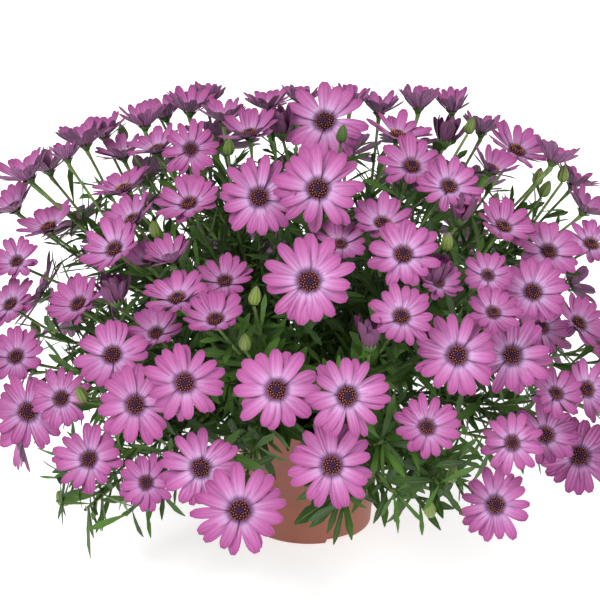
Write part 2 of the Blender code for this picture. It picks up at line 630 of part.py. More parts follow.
def grow():
    """Grows the whole bush. Each branch comes back as its solids and the lines they were made on, and
    nothing in one branch crosses another."""
    rng = np.random.default_rng(SEED)
    branches, ways, feet, forks = plan(rng)
    pot_fence, compost_fence = fence(pot_shape()), fence(compost_shape())
    fences = [[] for _ in branches]
    grown = [{"solids": [], "stalks": [], "leaves": []} for _ in branches]

    def clear(k, shape, hosts):
        """True where a solid of branch k crosses neither the pot, nor another branch, nor anything in
        its own branch but its hosts. A stem is alone in meeting the compost, in its hole."""
        others = [pot_fence] + [compost_fence] * bool(fences[k])
        others += [f for j, own in enumerate(fences) if j != k for f in own]
        others += [f for n, f in enumerate(fences[k]) if n not in hosts]
        return not crosses(shape, others)

    def keep(k, shape):
        grown[k]["solids"].append(shape)
        fences[k].append(fence(shape))

    for k, own in enumerate(branches):
        own.sort(key=lambda item: -(unit(item[1] - CROWN) @ ways[k]))
        grown[k]["stem"] = stem_line(feet[k], forks[k])
    for first in (True, False):
        for k, own in enumerate(branches):
            stem = grown[k]["stem"]
            for n, item in enumerate(own):
                if (n == 0) != first:
                    continue
                kind, centre, way, radius, cup = item
                scale = CLOSED_HEAD_SCALE if kind == "closed" else 1.0
                neck = {"head": 0.0055, "bud": 0.0068, "closed": 0.0068 * scale, "tuft": 0.0}[kind]
                sides = 3 if kind in ("head", "tuft") else 4
                for attempt in range(48):
                    spin = rng.uniform(0.0, 2.0 * math.pi)
                    share = max(0.50, 0.99 - 0.08 * n - 0.06 * (attempt // 4 % 4))
                    root, stem_way = along_line(stem, 1.0 if first else share)
                    root_way = stem_way if first else unit(stem_way + 1.5 * unit(centre - root))
                    hosts = (0,) if attempt < 32 else range(len(fences[k]))
                    lead, tail = ((0.30, 0.30), (0.15, 0.30), (0.45, 0.20), (0.05, 0.15))[attempt % 4]
                    line = stalk_line(root, root_way, centre - neck * way, way, lead, tail)
                    radii = [STALK_RADIUS] * STALK_POINTS
                    if first:
                        line, radii = np.vstack([stem, line[1:]]), [STEM_RADIUS] * 4 + radii
                    if kind == "head":
                        shape = flower_on_stalk((centre, way, radius, cup), spin, line, radii)
                    elif kind == "tuft":
                        shape = tube(line, radii, 3)
                    else:
                        shape = bud_on_stalk(centre, way, scale, line, radii)
                    if clear(k, shape, hosts):
                        keep(k, shape)
                        grown[k]["stalks"].append((kind, centre, way, radius, cup, spin, line))
                        break
    for k in range(len(branches)):
        places = [(grown[k]["stem"], share, 0) for share in LEAVES_ON_STEM]
        for host, (kind, *_, line) in enumerate(grown[k]["stalks"]):
            shares = np.linspace(0.35, 0.97, LEAVES_ON_TUFT) if kind == "tuft" else [0.30][: host % 3 == 1]
            places += [(line[-STALK_POINTS:], share, host) for share in shares]
        for line, share, host in places:
            size = rng.uniform(0.75, 1.15)
            start = rng.uniform(0.0, 2.0 * math.pi)
            for attempt in range(5):
                root, along = along_line(line, share)
                side = unit(np.cross(along, [0.36, 0.48, 0.80]))
                other = np.cross(along, side)
                angle = start + 1.3 * attempt
                out = math.cos(angle) * side + math.sin(angle) * other
                way = unit(0.62 * along + 0.78 * out)
                up = unit(along - 0.6 * out)
                shape = leaf(root, way, up, size * LEAF_LENGTH, size * LEAF_WIDTH)
                if clear(k, shape, (host,)) and shape[0][:, 2].min() > 0.045:
                    keep(k, shape)
                    grown[k]["leaves"].append((root, way, up, size))
                    break
    return feet, grown


def main():
    for old in list(bpy.data.objects):
        bpy.data.objects.remove(old)
    collection = bpy.context.scene.collection
    clay = material("terracotta plastic", (0.36, 0.13, 0.08), 0.45)
    peat = material("compost", (0.045, 0.030, 0.020), 0.95)
    spray = material("pink petals and green stems", (0.62, 0.25, 0.55), 0.55)

    feet, grown = grow()
    make_pot(clay, collection)
    make_compost(feet, peat, collection)
    for k, branch in enumerate(grown):
        solids = [mesh_object(f"piece_{n}", s, spray, collection) for n, s in enumerate(branch["solids"])]
        solids[0].name = f"branch_{k + 1:02d}"
        boolean(solids[0], "UNION", solids[1:], "MANIFOLD")
        largest_body(solids[0])


main()
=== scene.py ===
"""An osteospermum in full bloom in its nursery pot, dressed for the camera."""

import math

import bpy
import numpy as np
from mathutils.bvhtree import BVHTree
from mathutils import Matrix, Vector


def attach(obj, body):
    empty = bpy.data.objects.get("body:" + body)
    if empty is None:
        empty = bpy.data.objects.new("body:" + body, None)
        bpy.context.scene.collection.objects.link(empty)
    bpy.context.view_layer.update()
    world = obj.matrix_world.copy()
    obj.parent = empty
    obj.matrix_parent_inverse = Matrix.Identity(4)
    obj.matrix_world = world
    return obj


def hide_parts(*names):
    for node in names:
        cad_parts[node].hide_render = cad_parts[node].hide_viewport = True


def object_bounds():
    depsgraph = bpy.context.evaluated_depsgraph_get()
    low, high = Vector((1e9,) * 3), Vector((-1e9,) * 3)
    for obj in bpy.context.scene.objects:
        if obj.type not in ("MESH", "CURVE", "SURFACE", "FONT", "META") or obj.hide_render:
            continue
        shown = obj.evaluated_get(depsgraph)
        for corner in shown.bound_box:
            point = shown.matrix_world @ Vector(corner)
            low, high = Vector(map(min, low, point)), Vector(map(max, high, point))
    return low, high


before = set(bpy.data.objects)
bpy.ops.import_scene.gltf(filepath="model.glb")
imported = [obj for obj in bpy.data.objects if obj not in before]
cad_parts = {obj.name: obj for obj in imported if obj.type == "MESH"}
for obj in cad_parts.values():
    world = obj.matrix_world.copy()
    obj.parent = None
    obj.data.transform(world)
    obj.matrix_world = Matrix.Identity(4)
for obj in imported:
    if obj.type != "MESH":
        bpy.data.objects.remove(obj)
cad_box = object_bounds()

# The pot
# A thin-walled nursery pot, moulded in terracotta-coloured plastic: a notched foot ring, a low step, a
# tapered wall and a rim band. Its corners are slightly rounded, as they leave the mould.

# Sizes from the floor up. All lengths are in metres.
POT_RIM_RADIUS = 0.0650
POT_HEIGHT = 0.1050
POT_FOOT_RADIUS = 0.0535
POT_WALL = 0.0020
RIM_WALL = 1.2 * POT_WALL
RIM_BAND_HEIGHT = 0.0130
RIM_BAND_STANDS_OUT = 0.0018
STEP_HEIGHT = 0.0240
STEP_STANDS_OUT = 0.0008
FOOT_HEIGHT = 0.0040
FLOOR_TOP = FOOT_HEIGHT + POT_WALL
WALL_MIDDLE = 0.0580
POT_CORNER = 0.0005
POT_FINE_SIDES = 240
SHARP_CORNER = math.radians(32.0)
FOOT_NOTCHES = 4
FOOT_NOTCH_WIDTH = 0.0260
FOOT_NOTCH_HEIGHT = 0.0036
FOOT_NOTCH_TURN = math.radians(-60.0)
FOOT_TAPER = 0.0002
FOOT_FIRST_CORNER = 2
FOOT_LAST_CORNER = 7
DRAIN_HOLES = 4
DRAIN_HOLE_RADIUS = 0.0040
DRAIN_HOLE_CIRCLE = 0.0300
DRAIN_HOLE_SIDES = 24
DRAIN_BELOW_FLOOR = 0.00015

POT_COLOUR = (0.285, 0.098, 0.062, 1.0)
CLAY_DARK = (0.225, 0.062, 0.036)
CLAY_LIGHT = (0.345, 0.112, 0.070)
DRAIN_SHADE_COLOUR = (0.010, 0.008, 0.007, 1.0)


class Socket:
    """One output of a shader node. Arithmetic on it adds the Math nodes that work it out."""

    def __init__(self, tree, output):
        self.tree = tree
        self.output = output

    def maths(self, operation, *values):
        """The operation's result on values, each a socket or a number."""
        node = self.tree.nodes.new("ShaderNodeMath")
        node.operation = operation
        for slot, value in zip(node.inputs, values):
            if isinstance(value, Socket):
                self.tree.links.new(value.output, slot)
            else:
                slot.default_value = value
        return Socket(self.tree, node.outputs[0])

    def __add__(self, other):
        return self.maths("ADD", self, other)

    def __radd__(self, other):
        return self.maths("ADD", other, self)

    def __sub__(self, other):
        return self.maths("SUBTRACT", self, other)

    def __rsub__(self, other):
        return self.maths("SUBTRACT", other, self)

    def __mul__(self, other):
        return self.maths("MULTIPLY", self, other)

    def __rmul__(self, other):
        return self.maths("MULTIPLY", other, self)

    def __pow__(self, other):
        return self.maths("POWER", self, other)

    def __abs__(self):
        return self.maths("ABSOLUTE", self)

    def ripple(self):
        """From 0 to 1 and back, as the cosine of the value in radians goes."""
        return self.maths("COSINE", self) * 0.5 + 0.5

    def rise(self, start, end):
        """0 below start and 1 above end, with a smooth step between."""
        node = self.tree.nodes.new("ShaderNodeMapRange")
        node.interpolation_type = "SMOOTHSTEP"
        node.inputs["From Min"].default_value = start
        node.inputs["From Max"].default_value = end
        self.tree.links.new(self.output, node.inputs["Value"])
        return Socket(self.tree, node.outputs["Result"])


class Finish:
    """A material under construction: its node tree and its Principled shader."""

    def __init__(self, name, **plain):
        self.material = bpy.data.materials.new(name)
        self.material.use_nodes = True
        self.tree = self.material.node_tree
        self.shader = self.tree.nodes["Principled BSDF"]
        for key, value in plain.items():
            self.shader.inputs[key.replace("_", " ")].default_value = value

    def feed(self, slot, value):
        """Links a socket to a node's input, or gives the input a plain value."""
        if isinstance(value, Socket):
            self.tree.links.new(value.output, slot)
        else:
            slot.default_value = value

    def node(self, kind, settings=(), **values):
        """A node of a kind, with its settings made first and then its inputs' values or links."""
        made = self.tree.nodes.new(kind)
        for key, value in dict(settings).items():
            setattr(made, key, value)
        for key, value in values.items():
            self.feed(made.inputs[key], value)
        return made

    def out(self, made, name=0):
        """A node's output by its name or number."""
        return Socket(self.tree, made.outputs[name])

    def place(self):
        """The point on the surface, in the piece's own metres."""
        return self.out(self.node("ShaderNodeTexCoord"), "Object")

    def parts(self, vector):
        """A vector's three parts."""
        split = self.node("ShaderNodeSeparateXYZ", Vector=vector)
        return [self.out(split, n) for n in range(3)]

    def marks(self, name):
        """The four values of a piece's own attribute."""
        layer = self.node("ShaderNodeAttribute", {"attribute_name": name})
        return [*self.parts(self.out(layer, "Vector")), self.out(layer, "Alpha")]

    def noise(self, scale, detail):
        """Cloudy noise from 0 to 1, with so many grains to the metre."""
        return self.out(self.node("ShaderNodeTexNoise", Scale=scale, Detail=detail, Vector=self.place()))

    def mix(self, share, first, second):
        """The first colour where share is 0 and the second where it is 1."""
        made = self.node("ShaderNodeMix", {"data_type": "RGBA"})
        for number, value in ((0, share), (6, first), (7, second)):
            self.feed(made.inputs[number], (*value, 1.0) if isinstance(value, tuple) else value)
        return self.out(made, 2)

    def set(self, **links):
        """Feeds the shader's inputs."""
        for key, value in links.items():
            self.feed(self.shader.inputs[key.replace("_", " ")], value)

    def bump(self, height, distance):
        """Raises the surface's shading by a height from 0 to 1 over a distance in metres."""
        made = self.node("ShaderNodeBump", Height=height, Distance=distance)
        self.set(Normal=self.out(made, "Normal"))


def surface(name, points, faces, finish, smooth=True):
    """A mesh object from an array of points and an array of faces with equally many corners."""
    faces = np.asarray(faces)
    mesh = bpy.data.meshes.new(name)
    mesh.vertices.add(points.size // 3)
    mesh.vertices.foreach_set("co", points.astype(float).ravel())
    mesh.loops.add(faces.size)
    mesh.loops.foreach_set("vertex_index", faces.ravel().astype(np.int32))
    mesh.polygons.add(len(faces))
    mesh.polygons.foreach_set("loop_start", np.arange(0, faces.size, faces.shape[1]))
    mesh.polygons.foreach_set("loop_total", np.full(len(faces), faces.shape[1]))
    mesh.polygons.foreach_set("use_smooth", np.full(len(faces), smooth))
    mesh.materials.append(finish.material)
    mesh.update(calc_edges=True)
    mesh.validate()
    made = bpy.data.objects.new(name, mesh)
    bpy.context.scene.collection.objects.link(made)
    return made


def even_turns(count):
    """So many equal steps of one full turn, in radians."""
    return np.arange(count) * 2.0 * math.pi / count


def quads(grid):
    """The four-cornered faces of a grid of point numbers."""
    corners = [grid[:-1, :-1], grid[:-1, 1:], grid[1:, 1:], grid[1:, :-1]]
    return np.stack(corners, axis=-1).reshape(-1, 4)


def closed_grid(rows, columns):
    """The faces of a grid whose columns close on themselves, row after row."""
    grid = np.arange(rows * columns).reshape(rows, columns)
    return quads(np.hstack([grid, grid[:, :1]]))


def turned_surface(outline, sides):
    """A section turned round Z: radius times the angle's cosine and sine, and height as it is."""
    angle = even_turns(sides)
    radius, height = outline[:, 0, None], outline[:, 1, None]
    return np.stack([radius * np.cos(angle), radius * np.sin(angle), height + 0.0 * angle], axis=-1)


def wall_radius(height):
    """The radius of the pot's outer wall at a height: an even taper from the foot to the rim."""
    slope = (POT_RIM_RADIUS - RIM_BAND_STANDS_OUT - STEP_STANDS_OUT - POT_FOOT_RADIUS) / POT_HEIGHT
    return POT_FOOT_RADIUS + slope * height + (STEP_STANDS_OUT if height > STEP_HEIGHT else 0.0)


BAND_FROM = POT_HEIGHT - RIM_BAND_HEIGHT
MOUTH_RADIUS = wall_radius(POT_HEIGHT) + RIM_BAND_STANDS_OUT - RIM_WALL


def pot_outline():
    """The pot's section, from the middle of its underside round its foot, wall and rim, and down inside
    to the middle of its floor, as (radius, height) with each corner cut by a short slope."""
    soft = POT_CORNER
    foot = wall_radius(0.0)
    foot_inside = foot - POT_WALL
    above_step = wall_radius(STEP_HEIGHT + soft)
    band = wall_radius(BAND_FROM) + RIM_BAND_STANDS_OUT
    floor_edge = wall_radius(FLOOR_TOP) - POT_WALL
    return np.array([
        (0.0, FOOT_HEIGHT), (foot_inside - soft, FOOT_HEIGHT), (foot_inside, FOOT_HEIGHT - soft),
        (foot_inside, soft), (foot_inside + soft, 0.0), (foot - soft, 0.0), (foot, soft),
        (foot + FOOT_TAPER, FOOT_NOTCH_HEIGHT), (wall_radius(STEP_HEIGHT), STEP_HEIGHT - soft),
        (above_step, STEP_HEIGHT + soft), (wall_radius(WALL_MIDDLE), WALL_MIDDLE),
        (wall_radius(BAND_FROM), BAND_FROM - soft), (band - soft, BAND_FROM), (band, BAND_FROM + soft),
        (POT_RIM_RADIUS, POT_HEIGHT - soft), (POT_RIM_RADIUS - soft, POT_HEIGHT),
        (MOUTH_RADIUS + soft, POT_HEIGHT), (MOUTH_RADIUS, POT_HEIGHT - soft),
        (above_step - POT_WALL, STEP_HEIGHT), (floor_edge, FLOOR_TOP + soft),
        (floor_edge - soft, FLOOR_TOP), (0.0, FLOOR_TOP)])


clay = Finish("terracotta plastic", Base_Color=POT_COLOUR, Roughness=0.42)
clay_cloud = clay.noise(28.0, 4.0)
clay_dust = clay.noise(900.0, 2.0)
clay_low = 1.0 - clay.parts(clay.place())[2].rise(0.0, 0.060)
clay_tone = (0.55 * clay_cloud + 0.25 * clay_dust + 0.25 * clay_low).rise(0.25, 0.80)
clay.set(Base_Color=clay.mix(clay_tone, CLAY_DARK, CLAY_LIGHT), Roughness=0.34 + 0.22 * clay_cloud)
clay.bump(0.6 * clay_dust + 0.4 * clay_cloud, 0.00012)

# The notches lift the foot ring's lower corners to the notches' height.
pot_points = turned_surface(pot_outline(), POT_FINE_SIDES)
corner = np.arange(len(pot_points))[:, None]
notch_pitch = 2.0 * math.pi / FOOT_NOTCHES
notch_turn = np.arctan2(pot_points[..., 1], pot_points[..., 0]) - FOOT_NOTCH_TURN
notch_turn = (notch_turn + 0.5 * notch_pitch) % notch_pitch - 0.5 * notch_pitch
in_notch = abs(notch_turn) * POT_FOOT_RADIUS < 0.5 * FOOT_NOTCH_WIDTH
in_notch &= (corner >= FOOT_FIRST_CORNER) & (corner <= FOOT_LAST_CORNER)
lifted_corner = np.maximum(pot_points[..., 2], FOOT_NOTCH_HEIGHT)
pot_points[..., 2] = np.where(in_notch, lifted_corner, pot_points[..., 2])
pot = surface("pot_moulding", pot_points, closed_grid(len(pot_points), POT_FINE_SIDES), clay)
pot.data.set_sharp_from_angle(angle=SHARP_CORNER)

# The moulding is not pierced. Near-black discs just under its floor stand in for the drain holes, as painted
# shade where the holes would be.
drain_angle = even_turns(DRAIN_HOLES)[:, None]
drain_turn = even_turns(DRAIN_HOLE_SIDES)[None]
drain_x = DRAIN_HOLE_CIRCLE * np.cos(drain_angle) + DRAIN_HOLE_RADIUS * np.cos(drain_turn)
drain_y = DRAIN_HOLE_CIRCLE * np.sin(drain_angle) + DRAIN_HOLE_RADIUS * np.sin(drain_turn)
drain_z = np.full_like(drain_x, FOOT_HEIGHT - DRAIN_BELOW_FLOOR)
shadow = Finish("drain hole painted shade", Base_Color=DRAIN_SHADE_COLOUR, Roughness=0.9)
drain_faces = np.arange(drain_x.size).reshape(DRAIN_HOLES, DRAIN_HOLE_SIDES)[:, ::-1]
drain_shade_discs = surface("drain_hole_painted_shade", np.stack([drain_x, drain_y, drain_z], axis=-1), drain_faces, shadow,
                 smooth=False)
for piece in (pot, drain_shade_discs):
    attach(piece, "root")
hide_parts("pot")

# The compost
# Dark peat and wood fibre, filled to just below the rim and crumbly on top. The stems rise out of it.

COMPOST_TOP = POT_HEIGHT - 0.0080
FIT_GAP = 0.0003
STEM_HOLE_DEPTH = 0.0140
COMPOST_RINGS = 60
COMPOST_SIDES = 160
COMPOST_CRUMB = 0.0016
TOP_RADIUS = 0.0578
SHOULDER_RADIUS = 0.0576
SHOULDER_BELOW_TOP = 0.0040
RADIUS_AT_STEP = 0.0520
RADIUS_AT_FLOOR = 0.0505
CRUMB_WAVES = 40
CRUMB_FINENESS = 420.0
CRUMB_DRAW = np.random.default_rng(11)

PEAT_COLOUR = (0.03, 0.02, 0.014, 1.0)
PEAT_DARK = (0.012, 0.008, 0.006)
PEAT_FIBRE = (0.105, 0.066, 0.042)

crumb_waves = CRUMB_DRAW.normal(0.0, 1.0, (CRUMB_WAVES, 2)) * CRUMB_FINENESS
crumb_phase = CRUMB_DRAW.uniform(0.0, 2.0 * math.pi, CRUMB_WAVES)


def crumbly(x, y):
    """The height of the crumb at a place: forty sine waves of random lengths and ways, summed."""
    waves = np.sin(x[..., None] * crumb_waves[:, 0] + y[..., None] * crumb_waves[:, 1] + crumb_phase)
    return waves.sum(-1) / math.sqrt(CRUMB_WAVES)


top_radius = TOP_RADIUS * np.linspace(0.0, 1.0, COMPOST_RINGS)[:, None]
top_x = top_radius * np.cos(even_turns(COMPOST_SIDES))
top_y = top_radius * np.sin(even_turns(COMPOST_SIDES))
top_z = COMPOST_TOP + COMPOST_CRUMB * np.clip(crumbly(top_x, top_y), -1.0, 1.0) * (top_radius > 0.0)
below_top = np.array([(SHOULDER_RADIUS, COMPOST_TOP - SHOULDER_BELOW_TOP), (RADIUS_AT_STEP, STEP_HEIGHT),
                      (RADIUS_AT_FLOOR, FLOOR_TOP + FIT_GAP), (0.0, FLOOR_TOP + FIT_GAP)])
compost_rows = np.concatenate([np.stack([top_x, top_y, top_z], axis=-1),
                               turned_surface(below_top, COMPOST_SIDES)])
peat = Finish("compost", Base_Color=PEAT_COLOUR, Roughness=0.95)
peat_grain = peat.noise(700.0, 5.0)
peat_fleck = peat.noise(260.0, 2.0)
peat.set(Base_Color=peat.mix((0.7 * peat_grain + 0.5 * peat_fleck).rise(0.45, 0.85), PEAT_DARK, PEAT_FIBRE))
peat.bump(peat_grain, 0.0012)
compost_faces = closed_grid(len(compost_rows), COMPOST_SIDES)[:, ::-1]
compost = surface("compost_crumb", compost_rows, compost_faces, peat)
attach(compost, "root")
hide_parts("compost")

# The plan of the bush
# One root stock sends up thirty-six flowering branches from the compost. Each forks into stalks that carry
# the heads, and all heads lie on one dome. The plan works out where every branch, stalk, head, bud and leaf
# lies, with the same sizes and the same draws as the solids.

# The mound that the flower heads lie on: an ellipsoid round the pot's axis.
MOUND_RADIUS = 0.2480
MOUND_HALF_HEIGHT = 0.2150
MOUND_CENTRE_HEIGHT = 0.1400
LOWEST_HEAD = 0.0800
MOUND_CENTRE = np.array([0.0, 0.0, MOUND_CENTRE_HEIGHT])
MOUND_AXES = np.array([MOUND_RADIUS, MOUND_RADIUS, MOUND_HALF_HEIGHT])

# The branches.
CROWN = np.array([0.0, 0.0, 0.1000])
BRANCHES = 36
GROUP_ROUNDS = 12
BRANCH_CIRCLE = 0.0440
FULL_LEAN = math.radians(95.0)
FEET_APART = 0.0112
FEET_WITHIN = 0.0500
FEET_PUSH = 0.25
FEET_ROUNDS = 200
STEM_RADIUS = 0.0021
STEM_POINTS = 4
STEM_STRAIGHT = 0.004
STEM_RISES = 0.55
STEM_RISES_ASIDE = 0.10
STEM_ARRIVES = 0.35
BESIDE_STEM = np.array([0.36, 0.48, 0.80])
FORK_SHARE = 0.56
FORK_LOWEST = 0.1480
FORK_LOWEST_WITHIN = 0.150

# The stalks: where on its stem each starts, how it bends on its way, and how far below its head it ends.
STALK_RADIUS = 0.0012
STALK_POINTS = 3
STALK_SIDES = 3
TOP_ROOT = 0.99
LOWEST_ROOT = 0.50
ROOT_STEP = 0.08
ROOT_SHIFT = 0.06
ROOT_SHIFTS = 4
STALK_TURNS_OUT = 1.5
STALK_BENDS = ((0.30, 0.30), (0.15, 0.30), (0.45, 0.20), (0.05, 0.15))
STALK_TRIES = 48
STALK_CLEAR_TRIES = 32

# The flower heads.
PETALS = 7
EYE_SHARE = 0.20
EYE_STANDS = 0.0040
EYE_EDGE_STANDS = 0.0022
NOTCH_SHARE = 0.62
PETAL_TIP_SHARE = 0.34
BESIDE_HEAD = np.array([0.31, 0.17, 0.93])
LEANS_OUT = 0.55
LOOKS_UP = 0.87
HEAD_WOBBLE = 0.08
CUP_USUAL = 0.50
CUP_FLATTENS = 0.46
CUP_DEEPENS = 0.32
CUP_LEAST = 0.03
CUP_SPREAD = 0.05

# How two heads are kept apart: the points tried on each, and the steps and sizes tried to clear them.
HEAD_CLEARANCE = 0.0035
HEADS_APART = 0.012
HEAD_REACH = 1.06
HEAD_TEST_TURNS = 14
HEAD_TEST_SHARES = (0.35, 0.7, 1.0)
STALK_KEEPS_SHARE = 0.22
STALK_KEEPS_BELOW = 0.030
HEAD_STEP = 0.004
STEPS_BACK = 16
STEPS_FORTH = 8
HEAD_SIZES = (1.0, 0.9, 0.8, 0.72)

# The buds, closed heads and leaf tufts.
BUD_RADIUS = 0.0062
BUD_HEIGHTS = (-0.0030, 0.0040, 0.0085)
BUD_WIDTHS = (1.0, 0.85, 0.30)
BUD_TEST_SIDES = 4
CLOSED_HEAD_SCALE = 1.9
NECKS = {"head": 0.0055, "bud": 0.0068, "closed": 0.0068 * CLOSED_HEAD_SCALE, "tuft": 0.0}
SMALL_SET_BACK = 0.004
SMALL_TURN = 0.3
SMALL_WOBBLE = 0.15
BACK_BUDS = 6
BACK_FROM = 0.08
BACK_BUD_ASIDE = 0.045
BACK_BUD_BELOW = 0.006
BACK_BUD_TURN = -0.5
BESIDE_BACK_BUD = np.array([0.2, 0.9, 0.4])

# The larger leaves.
LEAF_LENGTH = 0.0440
LEAF_WIDTH = 0.0110
LEAF_THICKNESS = 0.0010
LEAF_MIDDLE = 0.62
LEAF_ARCH = 0.06
LEAF_TIP_DROPS = 0.04
LEAF_EDGE_RISES = 0.0016
LEAF_MIDDLE_THICK = 0.7
LEAF_SIZES = (0.75, 1.15)
LEAF_LOWEST = 0.045
LEAF_ALONG = 0.62
LEAF_OUT = 0.78
LEAF_TILT = 0.6
LEAF_TURN = 1.3
LEAF_TRIES = 5
LEAVES_ON_STEM = (0.60, 0.90)
LEAVES_ON_STALK = (0.30,)
LEAVES_ON_TUFT = 4
TUFT_LEAVES_BETWEEN = (0.35, 0.97)

# The plain forms of the pot and the compost that the stems and leaves are tried against.
POT_SIDES = 24
STEP_SLOPE = 0.0004
COMPOST_TEST_SIDES = 20
COMPOST_TEST_SHARE = 0.985
COMPOST_RIM_GAP = 3.0 * FIT_GAP

# The front of the bush as the photograph shows it. A head's place there is given in the picture's own
# pixels, and the eye's place turns a pixel into a line of sight that meets the mound.
EYE_DISTANCE = 1.80
EYE_ELEVATION = math.radians(21.0)
PIXEL_SIZE = 0.000833
PICTURE_MIDDLE = (300.0, 300.0)
LOOKED_AT = np.array([-0.0075, 0.0, 0.2000])
SIGHT = np.array([0.0, math.cos(EYE_ELEVATION), -math.sin(EYE_ELEVATION)])
SIGHT_UP = np.array([0.0, math.sin(EYE_ELEVATION), math.cos(EYE_ELEVATION)])
EYE = LOOKED_AT - EYE_DISTANCE * SIGHT

# Each head: across, down, radius, and its turn. Turn 1 faces the viewer with its petals flat, 0 is a cup
# tilted up and outward, and -1 a cup that faces the sky. A head that lies over another comes before it.
HEADS_SEEN = (
    (309, 281, 48, 0.95), (332, 465, 45, 0.9), (240, 511, 49, 0.8), (277, 390, 45, 0.95),
    (346, 396, 44, 0.9), (457, 355, 44, 0.95), (185, 383, 43, 0.9), (136, 405, 42, 0.85),
    (325, 122, 44, 0.9), (259, 198, 43, 0.8), (318, 190, 47, 0.8), (403, 256, 40, 0.4),
    (201, 468, 42, 0.9), (495, 505, 39, 0.9), (512, 356, 40, 0.85), (401, 318, 36, 0.35),
    (426, 428, 35, 0.6), (411, 168, 36, 0.4), (448, 188, 35, 0.5), (28, 412, 39, 0.9),
    (113, 356, 40, 0.6), (50, 230, 36, 0.2), (80, 306, 35, 0.2), (191, 150, 31, 0.8),
    (190, 206, 37, 0.25), (134, 222, 33, 0.1), (116, 251, 36, 0.15), (178, 301, 37, 0.1),
    (216, 322, 36, 0.05), (225, 283, 33, 0.05), (515, 153, 37, 0.3), (502, 229, 35, 0.35),
    (548, 253, 34, 0.4), (532, 293, 38, 0.5), (590, 246, 32, 0.4), (583, 212, 32, 0.1),
    (579, 456, 41, 0.9), (512, 443, 32, 0.9), (545, 436, 37, 0.6), (585, 390, 34, 0.5),
    (540, 328, 33, 0.4), (577, 325, 34, 0.3), (487, 277, 28, 0.4), (492, 314, 30, 0.4),
    (62, 399, 33, 0.7), (17, 358, 33, 0.6), (90, 460, 37, 0.6), (147, 483, 31, 0.6),
    (12, 306, 32, 0.3), (18, 263, 28, 0.5), (382, 226, 36, 0.0), (125, 192, 36, 0.05),
    (250, 137, 35, -0.2), (268, 110, 31, -0.2), (158, 152, 33, -0.2), (86, 146, 36, -0.4),
    (124, 158, 32, -0.3), (30, 179, 40, -0.3), (50, 172, 33, -0.2), (190, 113, 34, -0.5),
    (166, 118, 32, -0.3), (397, 138, 37, 0.1), (379, 114, 30, -0.4), (418, 110, 31, -0.7),
    (452, 112, 29, -0.8), (490, 172, 33, -0.1), (552, 163, 32, -0.5), (172, 262, 32, -0.3),
    (150, 262, 30, 0.0), (157, 335, 33, 0.2), (438, 285, 26, 0.1), (16, 210, 34, 0.0),
    (340, 246, 30, 0.1), (224, 122, 31, -0.4), (555, 395, 30, 0.5), (145, 127, 32, -0.4),
    (105, 138, 31, -0.5), (68, 160, 30, -0.5), (350, 108, 29, -0.5), (481, 134, 30, -0.4),
    (10, 190, 32, -0.3), (572, 186, 31, -0.2), (300, 104, 28, -0.5), (208, 104, 28, -0.6),
)
BUDS_SEEN = (
    (342, 135), (229, 148), (470, 127), (563, 175), (538, 178), (155, 230), (82, 395),
    (245, 343), (255, 297), (62, 499), (430, 510), (452, 475), (447, 243), (545, 190),
)
CLOSED_HEADS_SEEN = ((370, 338), (432, 277), (446, 135), (461, 212), (115, 294), (281, 126))
TUFTS_SEEN = (
    (126, 515), (345, 505), (398, 495), (440, 485), (85, 510), (385, 440), (466, 462), (60, 480),
)

# The sides and the back, which the picture hides, are filled by a golden-angle spiral.
SPIRAL_HEADS = 94
SPIRAL_RADIUS = (0.033, 0.039)
SPIRAL_SPACING = 0.059
SPIRAL_TOP = 0.985
SPIRAL_LOWEST = LOWEST_HEAD + 0.012
SPIRAL_WOBBLE = 0.16
SPIRAL_CUP = (0.05, 0.40)
SPIRAL_LOOKS_UP = 0.35
TURNED_AWAY = 0.22
SEED = 21


def unit(vector):
    """The vector at length 1."""
    return vector / np.linalg.norm(vector)


def place_in_picture(across, down):
    """The point where the line of sight through a pixel meets the mound, or comes nearest to it, its
    distance from the eye, and the way of that line."""
    right = (across - PICTURE_MIDDLE[0]) * PIXEL_SIZE
    up = (PICTURE_MIDDLE[1] - down) * PIXEL_SIZE
    line = unit(EYE_DISTANCE * SIGHT + right * np.array([1.0, 0.0, 0.0]) + up * SIGHT_UP)
    start, way = (EYE - MOUND_CENTRE) / MOUND_AXES, line / MOUND_AXES
    a, b, c = way @ way, start @ way, start @ start - 1.0
    reach = (-b - math.sqrt(max(b * b - a * c, 0.0))) / a
    point = EYE + reach * line
    if point[2] < LOWEST_HEAD:
        point = point + line * (LOWEST_HEAD - point[2]) / line[2]
    return point, reach, line


def mound_normal(point):
    """The mound's outward direction at a point on it."""
    return unit((point - MOUND_CENTRE) / MOUND_AXES**2)


def facing(point, turn, wobble):
    """The way a head looks: from up and out of the mound, turned to the viewer or to the sky."""
    sky = np.array([0.0, 0.0, 1.0])
    spread = (point - MOUND_CENTRE) * [1.0, 1.0, 0.0] / MOUND_RADIUS
    raised = unit(LEANS_OUT * spread + LOOKS_UP * sky)
    way = raised * (1.0 - abs(turn)) + (-SIGHT if turn > 0 else sky) * abs(turn)
    return unit(way + wobble)


def cup_of(turn, draw):
    """How far a head's petals rise, as a share of their length: little on a head that faces the viewer,
    half on a cup that leans outward and more on one that faces the sky."""
    to_viewer, to_sky = max(0.0, turn), max(0.0, -turn)
    return max(CUP_LEAST, CUP_USUAL - CUP_FLATTENS * to_viewer**0.8 + CUP_DEEPENS * to_sky + draw)


def seen_heads(rng):
    """The heads that the picture shows, as (centre, facing, radius, cup, way back)."""
    heads = []
    for across, down, radius, turn in HEADS_SEEN:
        point, reach, line = place_in_picture(across, down)
        wobble, draw = rng.normal(0.0, HEAD_WOBBLE, 3), rng.normal(0.0, CUP_SPREAD)
        size = radius * PIXEL_SIZE * reach / EYE_DISTANCE
        heads.append([point, facing(point, turn, wobble), size, cup_of(turn, draw), line])
    return heads


